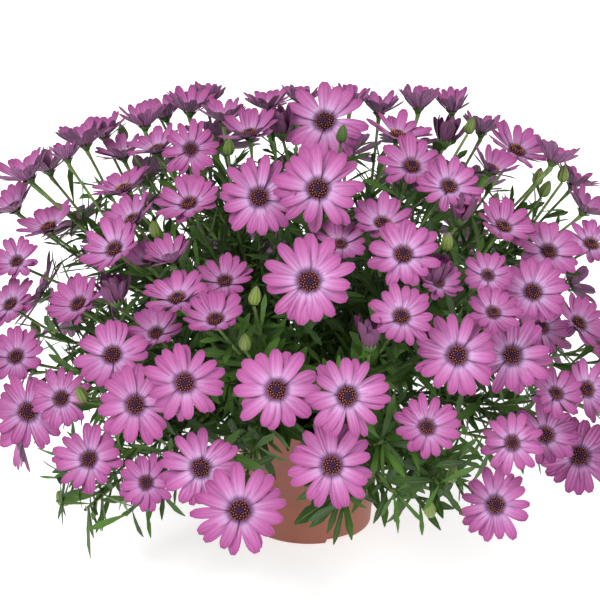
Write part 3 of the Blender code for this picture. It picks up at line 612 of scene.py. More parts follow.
def spiral_heads(rng, taken):
    """Heads for the sides and the back: points of a golden-angle spiral on the mound that lie clear of
    the heads already placed, and behind the part that the picture shows."""
    golden = math.pi * (3.0 - math.sqrt(5.0))
    lowest = (SPIRAL_LOWEST - MOUND_CENTRE_HEIGHT) / MOUND_HALF_HEIGHT
    heads = []
    for i in range(SPIRAL_HEADS):
        height = SPIRAL_TOP - (SPIRAL_TOP - lowest) * (i + 0.5) / SPIRAL_HEADS
        ring = math.sqrt(1.0 - height * height)
        angle = i * golden
        point = MOUND_CENTRE + MOUND_AXES * [ring * math.cos(angle), ring * math.sin(angle), height]
        wobble, radius = rng.normal(0.0, SPIRAL_WOBBLE, 3), rng.uniform(*SPIRAL_RADIUS)
        cup = rng.uniform(*SPIRAL_CUP)
        normal = mound_normal(point)
        if -normal @ SIGHT > TURNED_AWAY:
            continue
        if all(np.linalg.norm(point - head[0]) > SPIRAL_SPACING for head in taken + heads):
            way = unit(normal + [0.0, 0.0, SPIRAL_LOOKS_UP] + wobble)
            heads.append([point, way, radius, cup, -normal])
    return heads


def cup_rise(share, cup, radius):
    """How high a head's petals stand over its middle at a share of their length."""
    return cup * radius * share**1.25


def rim_points(head):
    """Points on a head: its middle and three rings, on the cup that its petals make."""
    centre, way, radius, cup = head[:4]
    side = unit(np.cross(way, BESIDE_HEAD))
    other = np.cross(way, side)
    turns = even_turns(HEAD_TEST_TURNS)
    flat = radius * math.sqrt(1.0 - cup * cup)
    ring = flat * (np.outer(np.cos(turns), side) + np.outer(np.sin(turns), other))
    rings = [centre + share * ring + cup_rise(share, cup, radius) * way for share in HEAD_TEST_SHARES]
    return np.vstack([centre[None], *rings])


def heads_touch(one, two):
    """True where a point of one head lies within the clearance of the other's cup or of its stalk."""
    if np.linalg.norm(one[0] - two[0]) > one[2] + two[2] + HEADS_APART:
        return False
    for points, head in ((rim_points(one), two), (rim_points(two), one)):
        offset = points - head[0]
        height = offset @ head[1]
        spread = np.linalg.norm(offset - np.outer(height, head[1]), axis=1)
        share = spread / (head[2] * math.sqrt(1.0 - head[3] ** 2))
        off_cup = abs(height - cup_rise(share, head[3], head[2]))
        near = (share < HEAD_REACH) & (off_cup < HEAD_CLEARANCE)
        below = (spread < STALK_KEEPS_SHARE * head[2]) & (height < 0) & (height > -STALK_KEEPS_BELOW)
        if (near | below).any():
            return True
    return False


def clear_heads(heads):
    """Moves each head along its way back, as little as will clear every head placed before it, and
    makes it smaller if it must. One that finds no place at the smallest size is left out."""
    steps = [HEAD_STEP * k * s for k in range(STEPS_BACK) for s in ((1, -1) if k < STEPS_FORTH else (1,))]
    placed = []
    for point, way, radius, cup, back in heads:
        for share in HEAD_SIZES:
            tries = ([point + step * back, way, share * radius, cup, back] for step in steps)
            free = next((t for t in tries if not any(heads_touch(t, p) for p in placed)), None)
            if free is not None:
                placed.append(free)
                break
    return placed


def small_places(rng, heads):
    """The buds, closed heads and leaf tufts in the picture, then a few buds on the back, as (kind,
    centre, facing)."""
    small = []
    for kind, spots in (("bud", BUDS_SEEN), ("closed", CLOSED_HEADS_SEEN), ("tuft", TUFTS_SEEN)):
        for across, down in spots:
            point, _, line = place_in_picture(across, down)
            turn = SMALL_TURN if kind == "tuft" else -SMALL_TURN
            way = facing(point, turn, rng.normal(0.0, SMALL_WOBBLE, 3))
            small.append((kind, point + SMALL_SET_BACK * line, way))
    behind = [h for h in heads if h[0][1] > BACK_FROM]
    for head in behind[:: max(1, len(behind) // BACK_BUDS)][:BACK_BUDS]:
        aside = unit(np.cross(head[1], BESIDE_BACK_BUD))
        point = head[0] + BACK_BUD_ASIDE * aside - BACK_BUD_BELOW * head[1]
        way = facing(point, BACK_BUD_TURN, rng.normal(0.0, SMALL_WOBBLE, 3))
        small.append(("bud", point, way))
    return small


def grouped(points):
    """Shares the points out among the branches by their direction from the crown: first the points
    furthest from one another lead, then each group's mean direction, over some rounds."""
    ways = np.array([unit(p - CROWN) for p in points])
    leads = [int(np.argmax(ways[:, 2]))]
    while len(leads) < BRANCHES:
        nearest = np.max(ways @ ways[leads].T, axis=1)
        leads.append(int(np.argmin(nearest)))
    middles = ways[leads]
    for _ in range(GROUP_ROUNDS):
        owner = np.argmax(ways @ middles.T, axis=1)
        middles = np.array([unit(ways[owner == k].sum(0)) if (owner == k).any() else middles[k]
                            for k in range(BRANCHES)])
    return owner


def bezier(p0, p1, p2, p3, count):
    """Points along a cubic Bezier curve: four points, weighted by (1-t)^3, 3(1-t)^2 t, 3(1-t) t^2 and
    t^3, as t goes from 0 to 1."""
    t = np.linspace(0.0, 1.0, count)[:, None]
    return (1 - t) ** 3 * p0 + 3 * (1 - t) ** 2 * t * p1 + 3 * (1 - t) * t**2 * p2 + t**3 * p3


def branch_foot(way):
    """Where a branch leaves the compost: under its own direction, further out the lower it leans."""
    lean = math.acos(min(1.0, way[2])) / FULL_LEAN
    flat = way[:2] / max(1e-6, np.linalg.norm(way[:2]))
    spot = flat * BRANCH_CIRCLE * math.sqrt(min(1.0, lean))
    return np.array([spot[0], spot[1], COMPOST_TOP])


def spread_feet(feet):
    """Pushes the feet apart until each stands clear of the next, inside the pot."""
    feet = np.array(feet)
    for _ in range(FEET_ROUNDS):
        gap = feet[:, None, :2] - feet[None, :, :2]
        far = np.linalg.norm(gap, axis=2) + np.eye(len(feet))
        push = np.clip(FEET_APART - far, 0.0, None) * (1 - np.eye(len(feet)))
        feet[:, :2] += FEET_PUSH * (gap / far[..., None] * push[..., None]).sum(1)
        out = np.linalg.norm(feet[:, :2], axis=1)
        feet[:, :2] *= np.minimum(1.0, FEET_WITHIN / np.maximum(out, 1e-9))[:, None]
    return feet


def stem_line(foot, fork):
    """A stem: straight up out of the compost, then over to its fork in one bend."""
    low = foot - [0.0, 0.0, STEM_HOLE_DEPTH - FIT_GAP]
    up = STEM_RISES * (fork[2] - foot[2]) + STEM_RISES_ASIDE * np.linalg.norm(fork[:2] - foot[:2])
    start = foot + [0.0, 0.0, STEM_STRAIGHT]
    before_fork = fork - STEM_ARRIVES * (fork - start)
    bend = bezier(start, start + [0.0, 0.0, up], before_fork, fork, STEM_POINTS)
    return np.vstack([low[None], bend])


def stalk_line(root, way, end, end_way, lead, tail):
    """A stalk: on from its root, then round to come up behind what it carries."""
    span = np.linalg.norm(end - root)
    return bezier(root, root + lead * span * way, end - tail * span * end_way, end, STALK_POINTS)


def along_line(line, share):
    """The point at a share of a line's length, and the line's way there."""
    steps = np.linalg.norm(np.diff(line, axis=0), axis=1)
    reach = share * steps.sum()
    k = int(min(np.searchsorted(np.cumsum(steps), reach), len(steps) - 1))
    way = (line[k + 1] - line[k]) / steps[k]
    return line[k] + (reach - steps[:k].sum()) * way, way


def tube(line, radii, sides, capped=True):
    """A tube of a few sides: rings across the line, carried along it without twist, with a flat cap
    where it starts, and one where it ends if it is capped."""
    along = np.gradient(line, axis=0)
    along /= np.linalg.norm(along, axis=1)[:, None]
    side = unit(np.cross(along[0], BESIDE_STEM))
    angles = even_turns(sides)
    points = []
    for centre, way, radius in zip(line, along, radii):
        side = unit(side - (side @ way) * way)
        other = np.cross(way, side)
        points += [centre + radius * (math.cos(a) * side + math.sin(a) * other) for a in angles]
    faces = []
    for ring in range(len(line) - 1):
        for k in range(sides):
            a, b = ring * sides + k, ring * sides + (k + 1) % sides
            faces += [(a, b, b + sides), (a, b + sides, a + sides)]
    last = (len(line) - 1) * sides
    for k in range(1, sides - 1):
        faces += [(0, k + 1, k)]
        faces += [(last, last + k, last + k + 1)] if capped else []
    return np.array(points), faces


def flower_on_stalk(head, spin, line, radii):
    """A stalk that opens into a flower head: a domed eye in a ring of petals over a low cup. Each petal
    is a blunt lobe that stands apart from the next beyond the notch and thins towards its tip."""
    stalk, faces = tube(line, radii, STALK_SIDES, capped=False)
    centre, way, radius, cup = head
    side = unit(np.cross(way, BESIDE_HEAD))
    other = np.cross(way, side)
    step = 2.0 * math.pi / PETALS
    flat = math.sqrt(1.0 - cup * cup)

    def at(angle, out, up):
        return centre + radius * out * (math.cos(angle) * side + math.sin(angle) * other) + up * way

    first = len(stalk)
    points = [at(0.0, 0.0, EYE_STANDS)]
    for k in range(PETALS):
        points.append(at(spin + (k + 0.5) * step, EYE_SHARE, EYE_EDGE_STANDS))
    rim_angles = []
    for k in range(PETALS):
        middle = spin + k * step
        for turn, share in ((-0.5, NOTCH_SHARE), (-PETAL_TIP_SHARE, 1.0), (PETAL_TIP_SHARE, 1.0)):
            rim_angles.append(middle + turn * step)
            points.append(at(rim_angles[-1], share * flat, cup_rise(share, cup, radius)))
    rim = first + 1 + PETALS
    for k in range(PETALS):
        before, after = first + 1 + (k - 1) % PETALS, first + 1 + k
        notch, left, right = rim + 3 * k, rim + 3 * k + 1, rim + 3 * k + 2
        next_notch = rim + 3 * ((k + 1) % PETALS)
        faces += [(first, before, after), (before, notch, left), (before, left, after),
                  (after, left, right), (after, right, next_notch)]
    ring = [(math.atan2((p - centre) @ other, (p - centre) @ side), first - STALK_SIDES + n)
            for n, p in enumerate(stalk[-STALK_SIDES:])]
    nearest = []
    for k in range(3 * PETALS):
        ahead = rim_angles[(k + 1) % (3 * PETALS)] - rim_angles[k]
        middle = rim_angles[k] + 0.5 * (ahead % (2.0 * math.pi))
        nearest.append(max(ring, key=lambda r: math.cos(r[0] - middle))[1])
    for k in range(3 * PETALS):
        after = (k + 1) % (3 * PETALS)
        faces.append((rim + k, nearest[k], rim + after))
        if nearest[after] != nearest[k]:
            faces.append((rim + after, nearest[k], nearest[after]))
    return np.vstack([stalk, points]), faces


def bud_on_stalk(point, way, scale, line, radii):
    """A stalk that swells into a bud, a short fat spindle, or into a closed head, which is larger."""
    line = np.vstack([line, [point + scale * height * way for height in BUD_HEIGHTS]])
    radii = [*radii, *(share * BUD_RADIUS * scale for share in BUD_WIDTHS)]
    return tube(line, radii, BUD_TEST_SIDES)


def leaf(root, way, up, length, width):
    """A leaf: widest beyond its middle, its two halves raised a little from the midrib, and curving
    down to its tip. Both faces are folded alike."""
    across = unit(np.cross(way, up))
    up = np.cross(across, way)
    half = 0.5 * width
    ridge = root + LEAF_MIDDLE * length * way + LEAF_ARCH * length * up
    points = [root + LEAF_THICKNESS * up, root - LEAF_THICKNESS * up,
              ridge + half * across + LEAF_EDGE_RISES * up, ridge - half * across + LEAF_EDGE_RISES * up,
              ridge + LEAF_MIDDLE_THICK * LEAF_THICKNESS * up,
              ridge - LEAF_MIDDLE_THICK * LEAF_THICKNESS * up,
              root + length * way - LEAF_TIP_DROPS * length * up]
    faces = [(0, 4, 2), (0, 3, 4), (2, 4, 6), (4, 3, 6), (1, 2, 5), (1, 5, 3), (2, 6, 5), (5, 6, 3),
             (0, 2, 1), (0, 1, 3)]
    return np.array(points), faces


def tree_of(shape):
    """A shape as a search tree for finding what it crosses."""
    points, faces = shape
    return BVHTree.FromPolygons([tuple(p) for p in points], faces)


def crosses(shape, others):
    """True where the shape's surface crosses that of any of the others, which are (low, high, tree)."""
    low, high = shape[0].min(0), shape[0].max(0)
    near = [t for lo, hi, t in others if (lo < high).all() and (hi > low).all()]
    if not near:
        return False
    own = tree_of(shape)
    return any(own.overlap(tree) for tree in near)


def fence(shape):
    """A shape's bounds and search tree."""
    return shape[0].min(0), shape[0].max(0), tree_of(shape)


def turned(profile, sides):
    """A solid turned round Z from a closed outline of (radius, height), as points and faces."""
    points, faces = [], []
    count = len(profile)
    for k in range(sides):
        angle = 2.0 * math.pi * (k + 0.5) / sides
        points += [(r * math.cos(angle), r * math.sin(angle), z) for r, z in profile]
        for j in range(count):
            a, b = k * count + j, k * count + (j + 1) % count
            c, d = ((k + 1) % sides) * count + (j + 1) % count, ((k + 1) % sides) * count + j
            faces.append((a, b, c, d))
    return np.array(points), faces


def pot_shape():
    """The pot's moulding before it is pierced: foot ring, low step, rim band, and a floor that stands
    clear of the table."""
    above_step = wall_radius(STEP_HEIGHT + STEP_SLOPE)
    band = wall_radius(BAND_FROM)
    outer = [(wall_radius(0.0), 0.0), (wall_radius(STEP_HEIGHT), STEP_HEIGHT),
             (above_step, STEP_HEIGHT + STEP_SLOPE),
             (band, BAND_FROM), (band + RIM_BAND_STANDS_OUT, BAND_FROM + STEP_SLOPE),
             (POT_RIM_RADIUS, POT_HEIGHT)]
    inner = [(MOUTH_RADIUS, POT_HEIGHT), (above_step - POT_WALL, STEP_HEIGHT),
             (wall_radius(FLOOR_TOP) - POT_WALL, FLOOR_TOP), (0.0, FLOOR_TOP)]
    under = [(0.0, FOOT_HEIGHT), (wall_radius(0.0) - POT_WALL, FOOT_HEIGHT),
             (wall_radius(0.0) - POT_WALL, 0.0)]
    return turned([*outer, *inner, *under], POT_SIDES)


def compost_shape():
    """The compost before it is pierced: it fills the pot to below the rim."""
    base = wall_radius(FLOOR_TOP) - POT_WALL - FIT_GAP
    waist = wall_radius(STEP_HEIGHT + STEP_SLOPE) - POT_WALL - FIT_GAP
    share = (COMPOST_TOP - STEP_HEIGHT) / (POT_HEIGHT - STEP_HEIGHT)
    rim = waist + share * (MOUTH_RADIUS - waist) - COMPOST_RIM_GAP
    line = np.array([(0.0, 0.0, FLOOR_TOP + FIT_GAP), (0.0, 0.0, STEP_HEIGHT), (0.0, 0.0, COMPOST_TOP)])
    radii = [radius * COMPOST_TEST_SHARE for radius in (base, waist, rim)]
    return tube(line, radii, COMPOST_TEST_SIDES)


def plan(rng):
    """The heads and small things of the bush, shared out among branches, with each branch's way, foot
    and fork."""
    heads = seen_heads(rng)
    heads = clear_heads(heads + spiral_heads(rng, heads))
    items = [("head", *h[:4]) for h in heads]
    items += [(*small, 0.0, 0.0) for small in small_places(rng, heads)]
    owner = grouped([item[1] for item in items])
    branches = [[item for item, own in zip(items, owner) if own == k] for k in range(BRANCHES)]
    branches = [own for own in branches if own]
    ways = [unit(np.mean([unit(item[1] - CROWN) for item in own], axis=0)) for own in branches]
    feet = spread_feet([branch_foot(way) for way in ways])
    forks = []
    for own, way in zip(branches, ways):
        reach = min(np.linalg.norm(item[1] - CROWN) for item in own)
        fork = CROWN + FORK_SHARE * reach * way
        if np.linalg.norm(fork[:2]) < FORK_LOWEST_WITHIN:
            fork[2] = max(fork[2], FORK_LOWEST)
        forks.append(fork)
    return branches, ways, feet, forks


def grow():
    """Grows the whole bush. Each branch comes back as its stem's line, its stalks and its leaves, and
    nothing in one branch crosses another."""
    rng = np.random.default_rng(SEED)
    branches, ways, feet, forks = plan(rng)
    pot_fence, compost_fence = fence(pot_shape()), fence(compost_shape())
    fences = [[] for _ in branches]
    grown = [{"stem": stem_line(*ends), "stalks": [], "leaves": []} for ends in zip(feet, forks)]
    for own, branch_way in zip(branches, ways):
        own.sort(key=lambda item: -(unit(item[1] - CROWN) @ branch_way))

    def clear(k, shape, hosts):
        """True where a solid of branch k crosses neither the pot, nor another branch, nor anything in
        its own branch but its hosts. A stem is alone in meeting the compost, in its hole."""
        others = [pot_fence] + [compost_fence] * bool(fences[k])
        others += [f for j, own in enumerate(fences) if j != k for f in own]
        others += [f for n, f in enumerate(fences[k]) if n not in hosts]
        return not crosses(shape, others)

    for first in (True, False):
        for k, own in enumerate(branches):
            stem = grown[k]["stem"]
            for n, (kind, centre, way, radius, cup) in enumerate(own):
                if (n == 0) != first:
                    continue
                for attempt in range(STALK_TRIES):
                    spin = rng.uniform(0.0, 2.0 * math.pi)
                    shift = attempt // len(STALK_BENDS) % ROOT_SHIFTS
                    share = max(LOWEST_ROOT, TOP_ROOT - ROOT_STEP * n - ROOT_SHIFT * shift)
                    root, stem_way = along_line(stem, 1.0 if first else share)
                    root_way = stem_way if first else unit(stem_way + STALK_TURNS_OUT * unit(centre - root))
                    hosts = (0,) if attempt < STALK_CLEAR_TRIES else range(len(fences[k]))
                    lead, tail = STALK_BENDS[attempt % len(STALK_BENDS)]
                    end = centre - NECKS[kind] * way
                    line = stalk_line(root, root_way, end, way, lead, tail)
                    radii = [STALK_RADIUS] * STALK_POINTS
                    if first:
                        line, radii = np.vstack([stem, line[1:]]), [STEM_RADIUS] * STEM_POINTS + radii
                    if kind == "head":
                        shape = flower_on_stalk((centre, way, radius, cup), spin, line, radii)
                    elif kind == "tuft":
                        shape = tube(line, radii, STALK_SIDES)
                    else:
                        scale = CLOSED_HEAD_SCALE if kind == "closed" else 1.0
                        shape = bud_on_stalk(centre, way, scale, line, radii)
                    if clear(k, shape, hosts):
                        fences[k].append(fence(shape))
                        grown[k]["stalks"].append((kind, centre, way, radius, cup, spin, line))
                        break
    for k, branch in enumerate(grown):
        places = [(branch["stem"], share, 0) for share in LEAVES_ON_STEM]
        for host, (kind, *_, line) in enumerate(branch["stalks"]):
            shares = LEAVES_ON_STALK if host % 3 == 1 else ()
            if kind == "tuft":
                shares = np.linspace(*TUFT_LEAVES_BETWEEN, LEAVES_ON_TUFT)
            places += [(line[-STALK_POINTS:], share, host) for share in shares]
        for line, share, host in places:
            size = rng.uniform(*LEAF_SIZES)
            start = rng.uniform(0.0, 2.0 * math.pi)
            root, along = along_line(line, share)
            side = unit(np.cross(along, BESIDE_STEM))
            other = np.cross(along, side)
            for attempt in range(LEAF_TRIES):
                angle = start + LEAF_TURN * attempt
                out = math.cos(angle) * side + math.sin(angle) * other
                way = unit(LEAF_ALONG * along + LEAF_OUT * out)
                up = unit(along - LEAF_TILT * out)
                shape = leaf(root, way, up, size * LEAF_LENGTH, size * LEAF_WIDTH)
                if clear(k, shape, (host,)) and shape[0][:, 2].min() > LEAF_LOWEST:
                    fences[k].append(fence(shape))
                    branch["leaves"].append((root, way, up, size))
                    break
    return grown


grown = grow()
branch_names = [f"branch_{k + 1:02d}" for k in range(len(grown))]
stalks = [stalk for branch in grown for stalk in branch["stalks"]]
heads_grown = [s for s in stalks if s[0] == "head"]

# The stems and flower stalks
# Green, slightly fleshy stems that turn brown and woody near the compost. The flower stalks are thinner
# and widen just below the head, which sits on their end.

STEM_SIDES = 8
STALK_STEPS = 18
STEM_THICK_UNTIL = 0.45
STEM_THIN_FROM = 0.75
STALK_INTO_HEAD = 0.0066
STALK_WIDENS_FROM = 0.90
STALK_WIDENS_OVER = 0.08
STALK_WIDENS_BY = 1.1

STEM_COLOUR = (0.10, 0.17, 0.04, 1.0)
STEM_DARK = (0.060, 0.115, 0.022)
STEM_LIGHT = (0.150, 0.215, 0.055)
STEM_WOODY = (0.085, 0.062, 0.030)


def units(rows):
    """Each row of an array at length 1."""
    return rows / np.linalg.norm(rows, axis=1)[:, None]


def smooth_line(line, steps):
    """A smooth line through a polyline's points: on each stretch a cubic whose ways at its two ends are
    half the chords between the neighbouring points."""
    before = np.vstack([2.0 * line[0] - line[1], line[:-1]])
    after = np.vstack([line[1:], 2.0 * line[-1] - line[-2]])
    way = 0.5 * (after - before)
    place = np.linspace(0.0, len(line) - 1.0, steps)
    k = np.minimum(place.astype(int), len(line) - 2)
    t = (place - k)[:, None]
    start, end = line[k], line[k + 1]
    return ((2 * t**3 - 3 * t**2 + 1) * start + (t**3 - 2 * t**2 + t) * way[k]
            + (3 * t**2 - 2 * t**3) * end + (t**3 - t**2) * way[k + 1])


def round_tube(line, radii, sides):
    """The points of a tube: rings of equal turns round the line, each in the plane across it."""
    along = units(np.gradient(line, axis=0))
    side = units(np.cross(along, BESIDE_STEM))
    other = np.cross(along, side)
    angle = even_turns(sides)
    ring = np.cos(angle)[:, None] * side[:, None] + np.sin(angle)[:, None] * other[:, None]
    return line[:, None] + radii[:, None, None] * ring


green = Finish("green stem", Base_Color=STEM_COLOUR, Roughness=0.55)
green_x, green_y, green_height = green.parts(green.place())
green_from_axis = (green_x ** 2.0 + green_y ** 2.0) ** 0.5
green_woody = (1.0 - green_height.rise(0.105, 0.190)) * (1.0 - green_from_axis.rise(0.050, 0.100))
green_streak = green.noise(160.0, 3.0)
green_leafy = green.mix(green_streak.rise(0.3, 0.7), STEM_DARK, STEM_LIGHT)
green.set(Base_Color=green.mix(green_woody, green_leafy, STEM_WOODY))
green.bump(green_streak, 0.0003)

tube_points, tube_faces, tube_count = [], [], 0
for kind, _, way, _, _, _, line in stalks:
    has_stem = len(line) > STALK_POINTS
    path = smooth_line(line, STALK_STEPS * (2 if has_stem else 1))
    if kind == "head":
        path = np.vstack([path, path[-1] + STALK_INTO_HEAD * way])
    share = np.linspace(0.0, 1.0, len(path))
    thick = np.full(len(path), STALK_RADIUS)
    if has_stem:
        thick = np.interp(share, (STEM_THICK_UNTIL, STEM_THIN_FROM), (STEM_RADIUS, STALK_RADIUS))
    if kind == "head":
        thick *= 1.0 + STALK_WIDENS_BY * np.clip((share - STALK_WIDENS_FROM) / STALK_WIDENS_OVER, 0.0, 1.0)
    tube_points.append(round_tube(path, thick, STEM_SIDES).reshape(-1, 3))
    tube_faces.append(closed_grid(len(path), STEM_SIDES) + tube_count)
    tube_count += len(tube_points[-1])
stems = surface("stems_and_stalks", np.vstack(tube_points), np.vstack(tube_faces), green)
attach(stems, "root")

# The leaves
# Narrow spoon-shaped leaves, a little fleshy, with a pale midrib and a few blunt teeth beyond the middle.
# They stand in a spiral up the stems and the flower stalks. The larger ones are the solids' own leaves,
# and the small ones that fill the bush are added here.

LEAF_ROWS = 8
LEAF_COLUMNS = 3
FINE_LEAF_THICKNESS = 0.0007
LEAF_FOLD = 0.22
LEAF_FOOT = 0.20
LEAF_WIDEST_AT = 0.66
LEAF_CLOSES_OVER = 0.345
TEETH_BETWEEN = (0.45, 0.95)
LEAF_TOOTH = 0.11
FILL_ON_STEM = 66
FILL_ON_STALK = 24
FILL_ON_TUFT = 14
FILL_FROM_ON_STEM = 0.12
FILL_FROM_ON_STALK = 0.05
FILL_UNTIL = 0.84
FILL_TURN = 2.4
FILL_ALONG = 0.60
FILL_OUT = 0.80
FILL_WOBBLE = 0.16
FILL_SIZES = (0.45, 0.95)
FINE_LEAF_WIDTHS = (0.50, 0.85)
FINE_LEAF_BEND = (-0.15, 0.30)
FINE_LEAF_TWIST = 0.35
TEST_SHARES_OF_LEAF = (0.45, 0.70, 1.0)
POT_CLEAR_HEIGHT = 0.112
POT_CLEAR_RADIUS = 0.085
LOWEST_LEAF_TIP = 0.035
INSIDE_BOX_BY = 0.002
HEAD_KEEPS_BELOW = -0.003
HEAD_KEEPS_ABOVE = 0.030
HEAD_KEEPS_SHARE = 0.95
LEAF_DRAW = np.random.default_rng(23)

LEAF_DARK = (0.008, 0.030, 0.004)
LEAF_LIGHT = (0.050, 0.125, 0.012)
LEAF_FLECK = (0.100, 0.200, 0.022)
LEAF_RIB = (0.150, 0.250, 0.050)
LEAF_UNDER = (0.085, 0.150, 0.040)


def strap(root, out, up, length, half, bend, outline, fold, thick, twist, columns):
    """Both faces of many straps at once. Each strap's spine is an arc that leaves its root along `out`
    and turns by `bend` towards `up`. Across it, the outline times its half width gives the edges, the
    fold lifts them by its share, and the faces part by the thickness where the strap is midmost.
    The arrays hold one strap to a row, and come back as (strap, along, across, 3)."""
    v = np.linspace(0.0, 1.0, len(outline))[None, :, None]
    u = np.linspace(-1.0, 1.0, columns)[None, None, :]
    sizes = np.broadcast_arrays(length, half, bend, twist, fold)
    length, half, bend, twist, fold = (a[:, None, None] for a in sizes)
    turn = np.where(abs(bend) < 1e-4, 1e-4, bend)
    ahead, lift = length * np.sin(turn * v) / turn, length * (1.0 - np.cos(turn * v)) / turn
    out, up = out[:, None, None], up[:, None, None]
    across = np.cross(out, up)
    spine = root[:, None, None] + ahead[..., None] * out + lift[..., None] * up
    normal = np.cos(turn * v)[..., None] * up - np.sin(turn * v)[..., None] * out
    roll = twist * v
    rolled_across = np.cos(roll)[..., None] * across + np.sin(roll)[..., None] * normal
    rolled_normal = np.cos(roll)[..., None] * normal - np.sin(roll)[..., None] * across
    half_there = half * outline[None, :, None]
    wide = half_there * u
    raised = fold * half_there * abs(u) ** 1.5
    sheet = spine + wide[..., None] * rolled_across + raised[..., None] * rolled_normal
    inner = (1.0 - u**2) * np.sin(math.pi * np.clip(v, 0.02, 0.98)) ** 0.4 * thick
    return sheet + 0.5 * inner[..., None] * rolled_normal, sheet - 0.5 * inner[..., None] * rolled_normal


def copies(faces, points_each, count):
    """The faces of so many like shapes, one after another in one mesh."""
    return (faces[None] + points_each * np.arange(count)[:, None, None]).reshape(-1, faces.shape[1])


def marked(piece, name, domain, marks):
    """Gives a piece an attribute of four values to a corner or point, which its material reads."""
    piece.data.attributes.new(name, "FLOAT_COLOR", domain).data.foreach_set("color", marks.ravel())


def straps_piece(name, top, bottom, tone, finish):
    """One mesh of many straps. The two faces share their outline, which is shaded sharp. A corner
    attribute holds how far across, how far along, 1 on the lower face, and the strap's own tone."""
    count, rows, columns = top.shape[:3]
    upper = np.arange(rows * columns).reshape(rows, columns)
    lower = upper.copy()
    inner = (rows - 2) * (columns - 2)
    lower[1:-1, 1:-1] = rows * columns + np.arange(inner).reshape(rows - 2, columns - 2)
    each = rows * columns + inner
    lower_own = bottom[:, 1:-1, 1:-1].reshape(count, -1, 3)
    points = np.concatenate([top.reshape(count, -1, 3), lower_own], axis=1)
    one = np.vstack([quads(upper)[:, ::-1], quads(lower)])
    made = surface(name, points, copies(one, each, count), finish)
    across = quads(np.tile(np.arange(columns), (rows, 1))) / (columns - 1.0)
    along = quads(np.tile(np.arange(rows)[:, None], (1, columns))) / (rows - 1.0)
    marks = np.zeros((count, len(one), 4, 4))
    marks[..., 0] = np.vstack([across[:, ::-1], across])
    marks[..., 1] = np.vstack([along[:, ::-1], along])
    marks[:, len(one) // 2:, :, 2] = 1.0
    marks[..., 3] = tone[:, None, None]
    marked(made, "strap", "CORNER", marks)
    mesh = made.data
    edge_ends = np.zeros(2 * len(mesh.edges), np.int32)
    mesh.edges.foreach_get("vertices", edge_ends)
    outline = np.ones(each, bool)
    outline[upper[1:-1, 1:-1].ravel()] = False
    outline[rows * columns:] = False
    sharp = outline[edge_ends.reshape(-1, 2) % each].all(axis=1)
    mesh.attributes.new("sharp_edge", "BOOLEAN", "EDGE").data.foreach_set("value", sharp)
    return made


def strap_marks(finish):
    """The strap attribute in a material: across from -1 to 1, along, lower face, and tone."""
    across, along, lower, tone = finish.marks("strap")
    return across * 2.0 - 1.0, along, lower, tone


def turned_out(side, other, turn):
    """The ways out at turns round an axis: one cross way times the cosine, the other times the sine."""
    return np.cos(turn)[:, None] * side + np.sin(turn)[:, None] * other


def square_to(ways, axes):
    """The part of each way that is square to its axis, at length 1."""
    return units(ways - (ways * axes).sum(1)[:, None] * axes)


leaf_root, leaf_way, leaf_up, leaf_size = (
    np.array([leaf[n] for branch in grown for leaf in branch["leaves"]]) for n in range(4))
fill = []
for kind, _, _, _, _, spin, line in stalks:
    has_stem = len(line) > STALK_POINTS
    start = FILL_FROM_ON_STEM if has_stem else FILL_FROM_ON_STALK
    end = 1.0 if kind == "tuft" else FILL_UNTIL
    count = FILL_ON_STALK + (FILL_ON_STEM if has_stem else 0) + (FILL_ON_TUFT if kind == "tuft" else 0)
    for n in range(count):
        spot, along = along_line(line, start + (end - start) * (n + 0.5) / count)
        fill.append((*spot, *along, FILL_TURN * n + spin))
fill = np.array(fill)
fill = fill[(fill[:, 2] > POT_CLEAR_HEIGHT) | (np.hypot(fill[:, 0], fill[:, 1]) > POT_CLEAR_RADIUS)]
fill_root, fill_along, fill_turn = fill[:, :3], fill[:, 3:6], fill[:, 6]
fill_side = units(np.cross(fill_along, BESIDE_STEM))
fill_out = turned_out(fill_side, np.cross(fill_along, fill_side), fill_turn)
fill_size = LEAF_DRAW.uniform(*FILL_SIZES, len(fill))
fill_wobble = LEAF_DRAW.normal(0.0, FILL_WOBBLE, (len(fill), 3))
fill_way = units(FILL_ALONG * fill_along + FILL_OUT * fill_out + fill_wobble)
leaf_up = np.vstack([square_to(leaf_up, leaf_way), square_to(fill_along, fill_way)])
leaf_way = np.vstack([leaf_way, fill_way])
leaf_root = np.vstack([leaf_root, fill_root])
leaf_size = np.concatenate([leaf_size, fill_size])

# A leaf stays that lies inside the part's box, above the table, and clear of the flower heads.
leaf_tip = leaf_root + LEAF_LENGTH * leaf_size[:, None] * leaf_way
cad_low, cad_high = (np.array(box_corner) for box_corner in cad_box)
stays = ((leaf_tip > cad_low + INSIDE_BOX_BY) & (leaf_tip < cad_high - INSIDE_BOX_BY)).all(axis=1)
stays &= leaf_tip[:, 2] > LOWEST_LEAF_TIP
for _, centre, way, radius, _, _, _ in heads_grown:
    for share in TEST_SHARES_OF_LEAF:
        offset = leaf_root + share * (leaf_tip - leaf_root) - centre
        height = offset @ way
        spread = np.linalg.norm(offset - height[:, None] * way, axis=1)
        stays &= ((spread > HEAD_KEEPS_SHARE * radius) | (height < HEAD_KEEPS_BELOW)
                  | (height > HEAD_KEEPS_ABOVE))
leaf_root, leaf_way, leaf_up, leaf_size = (a[stays] for a in (leaf_root, leaf_way, leaf_up, leaf_size))

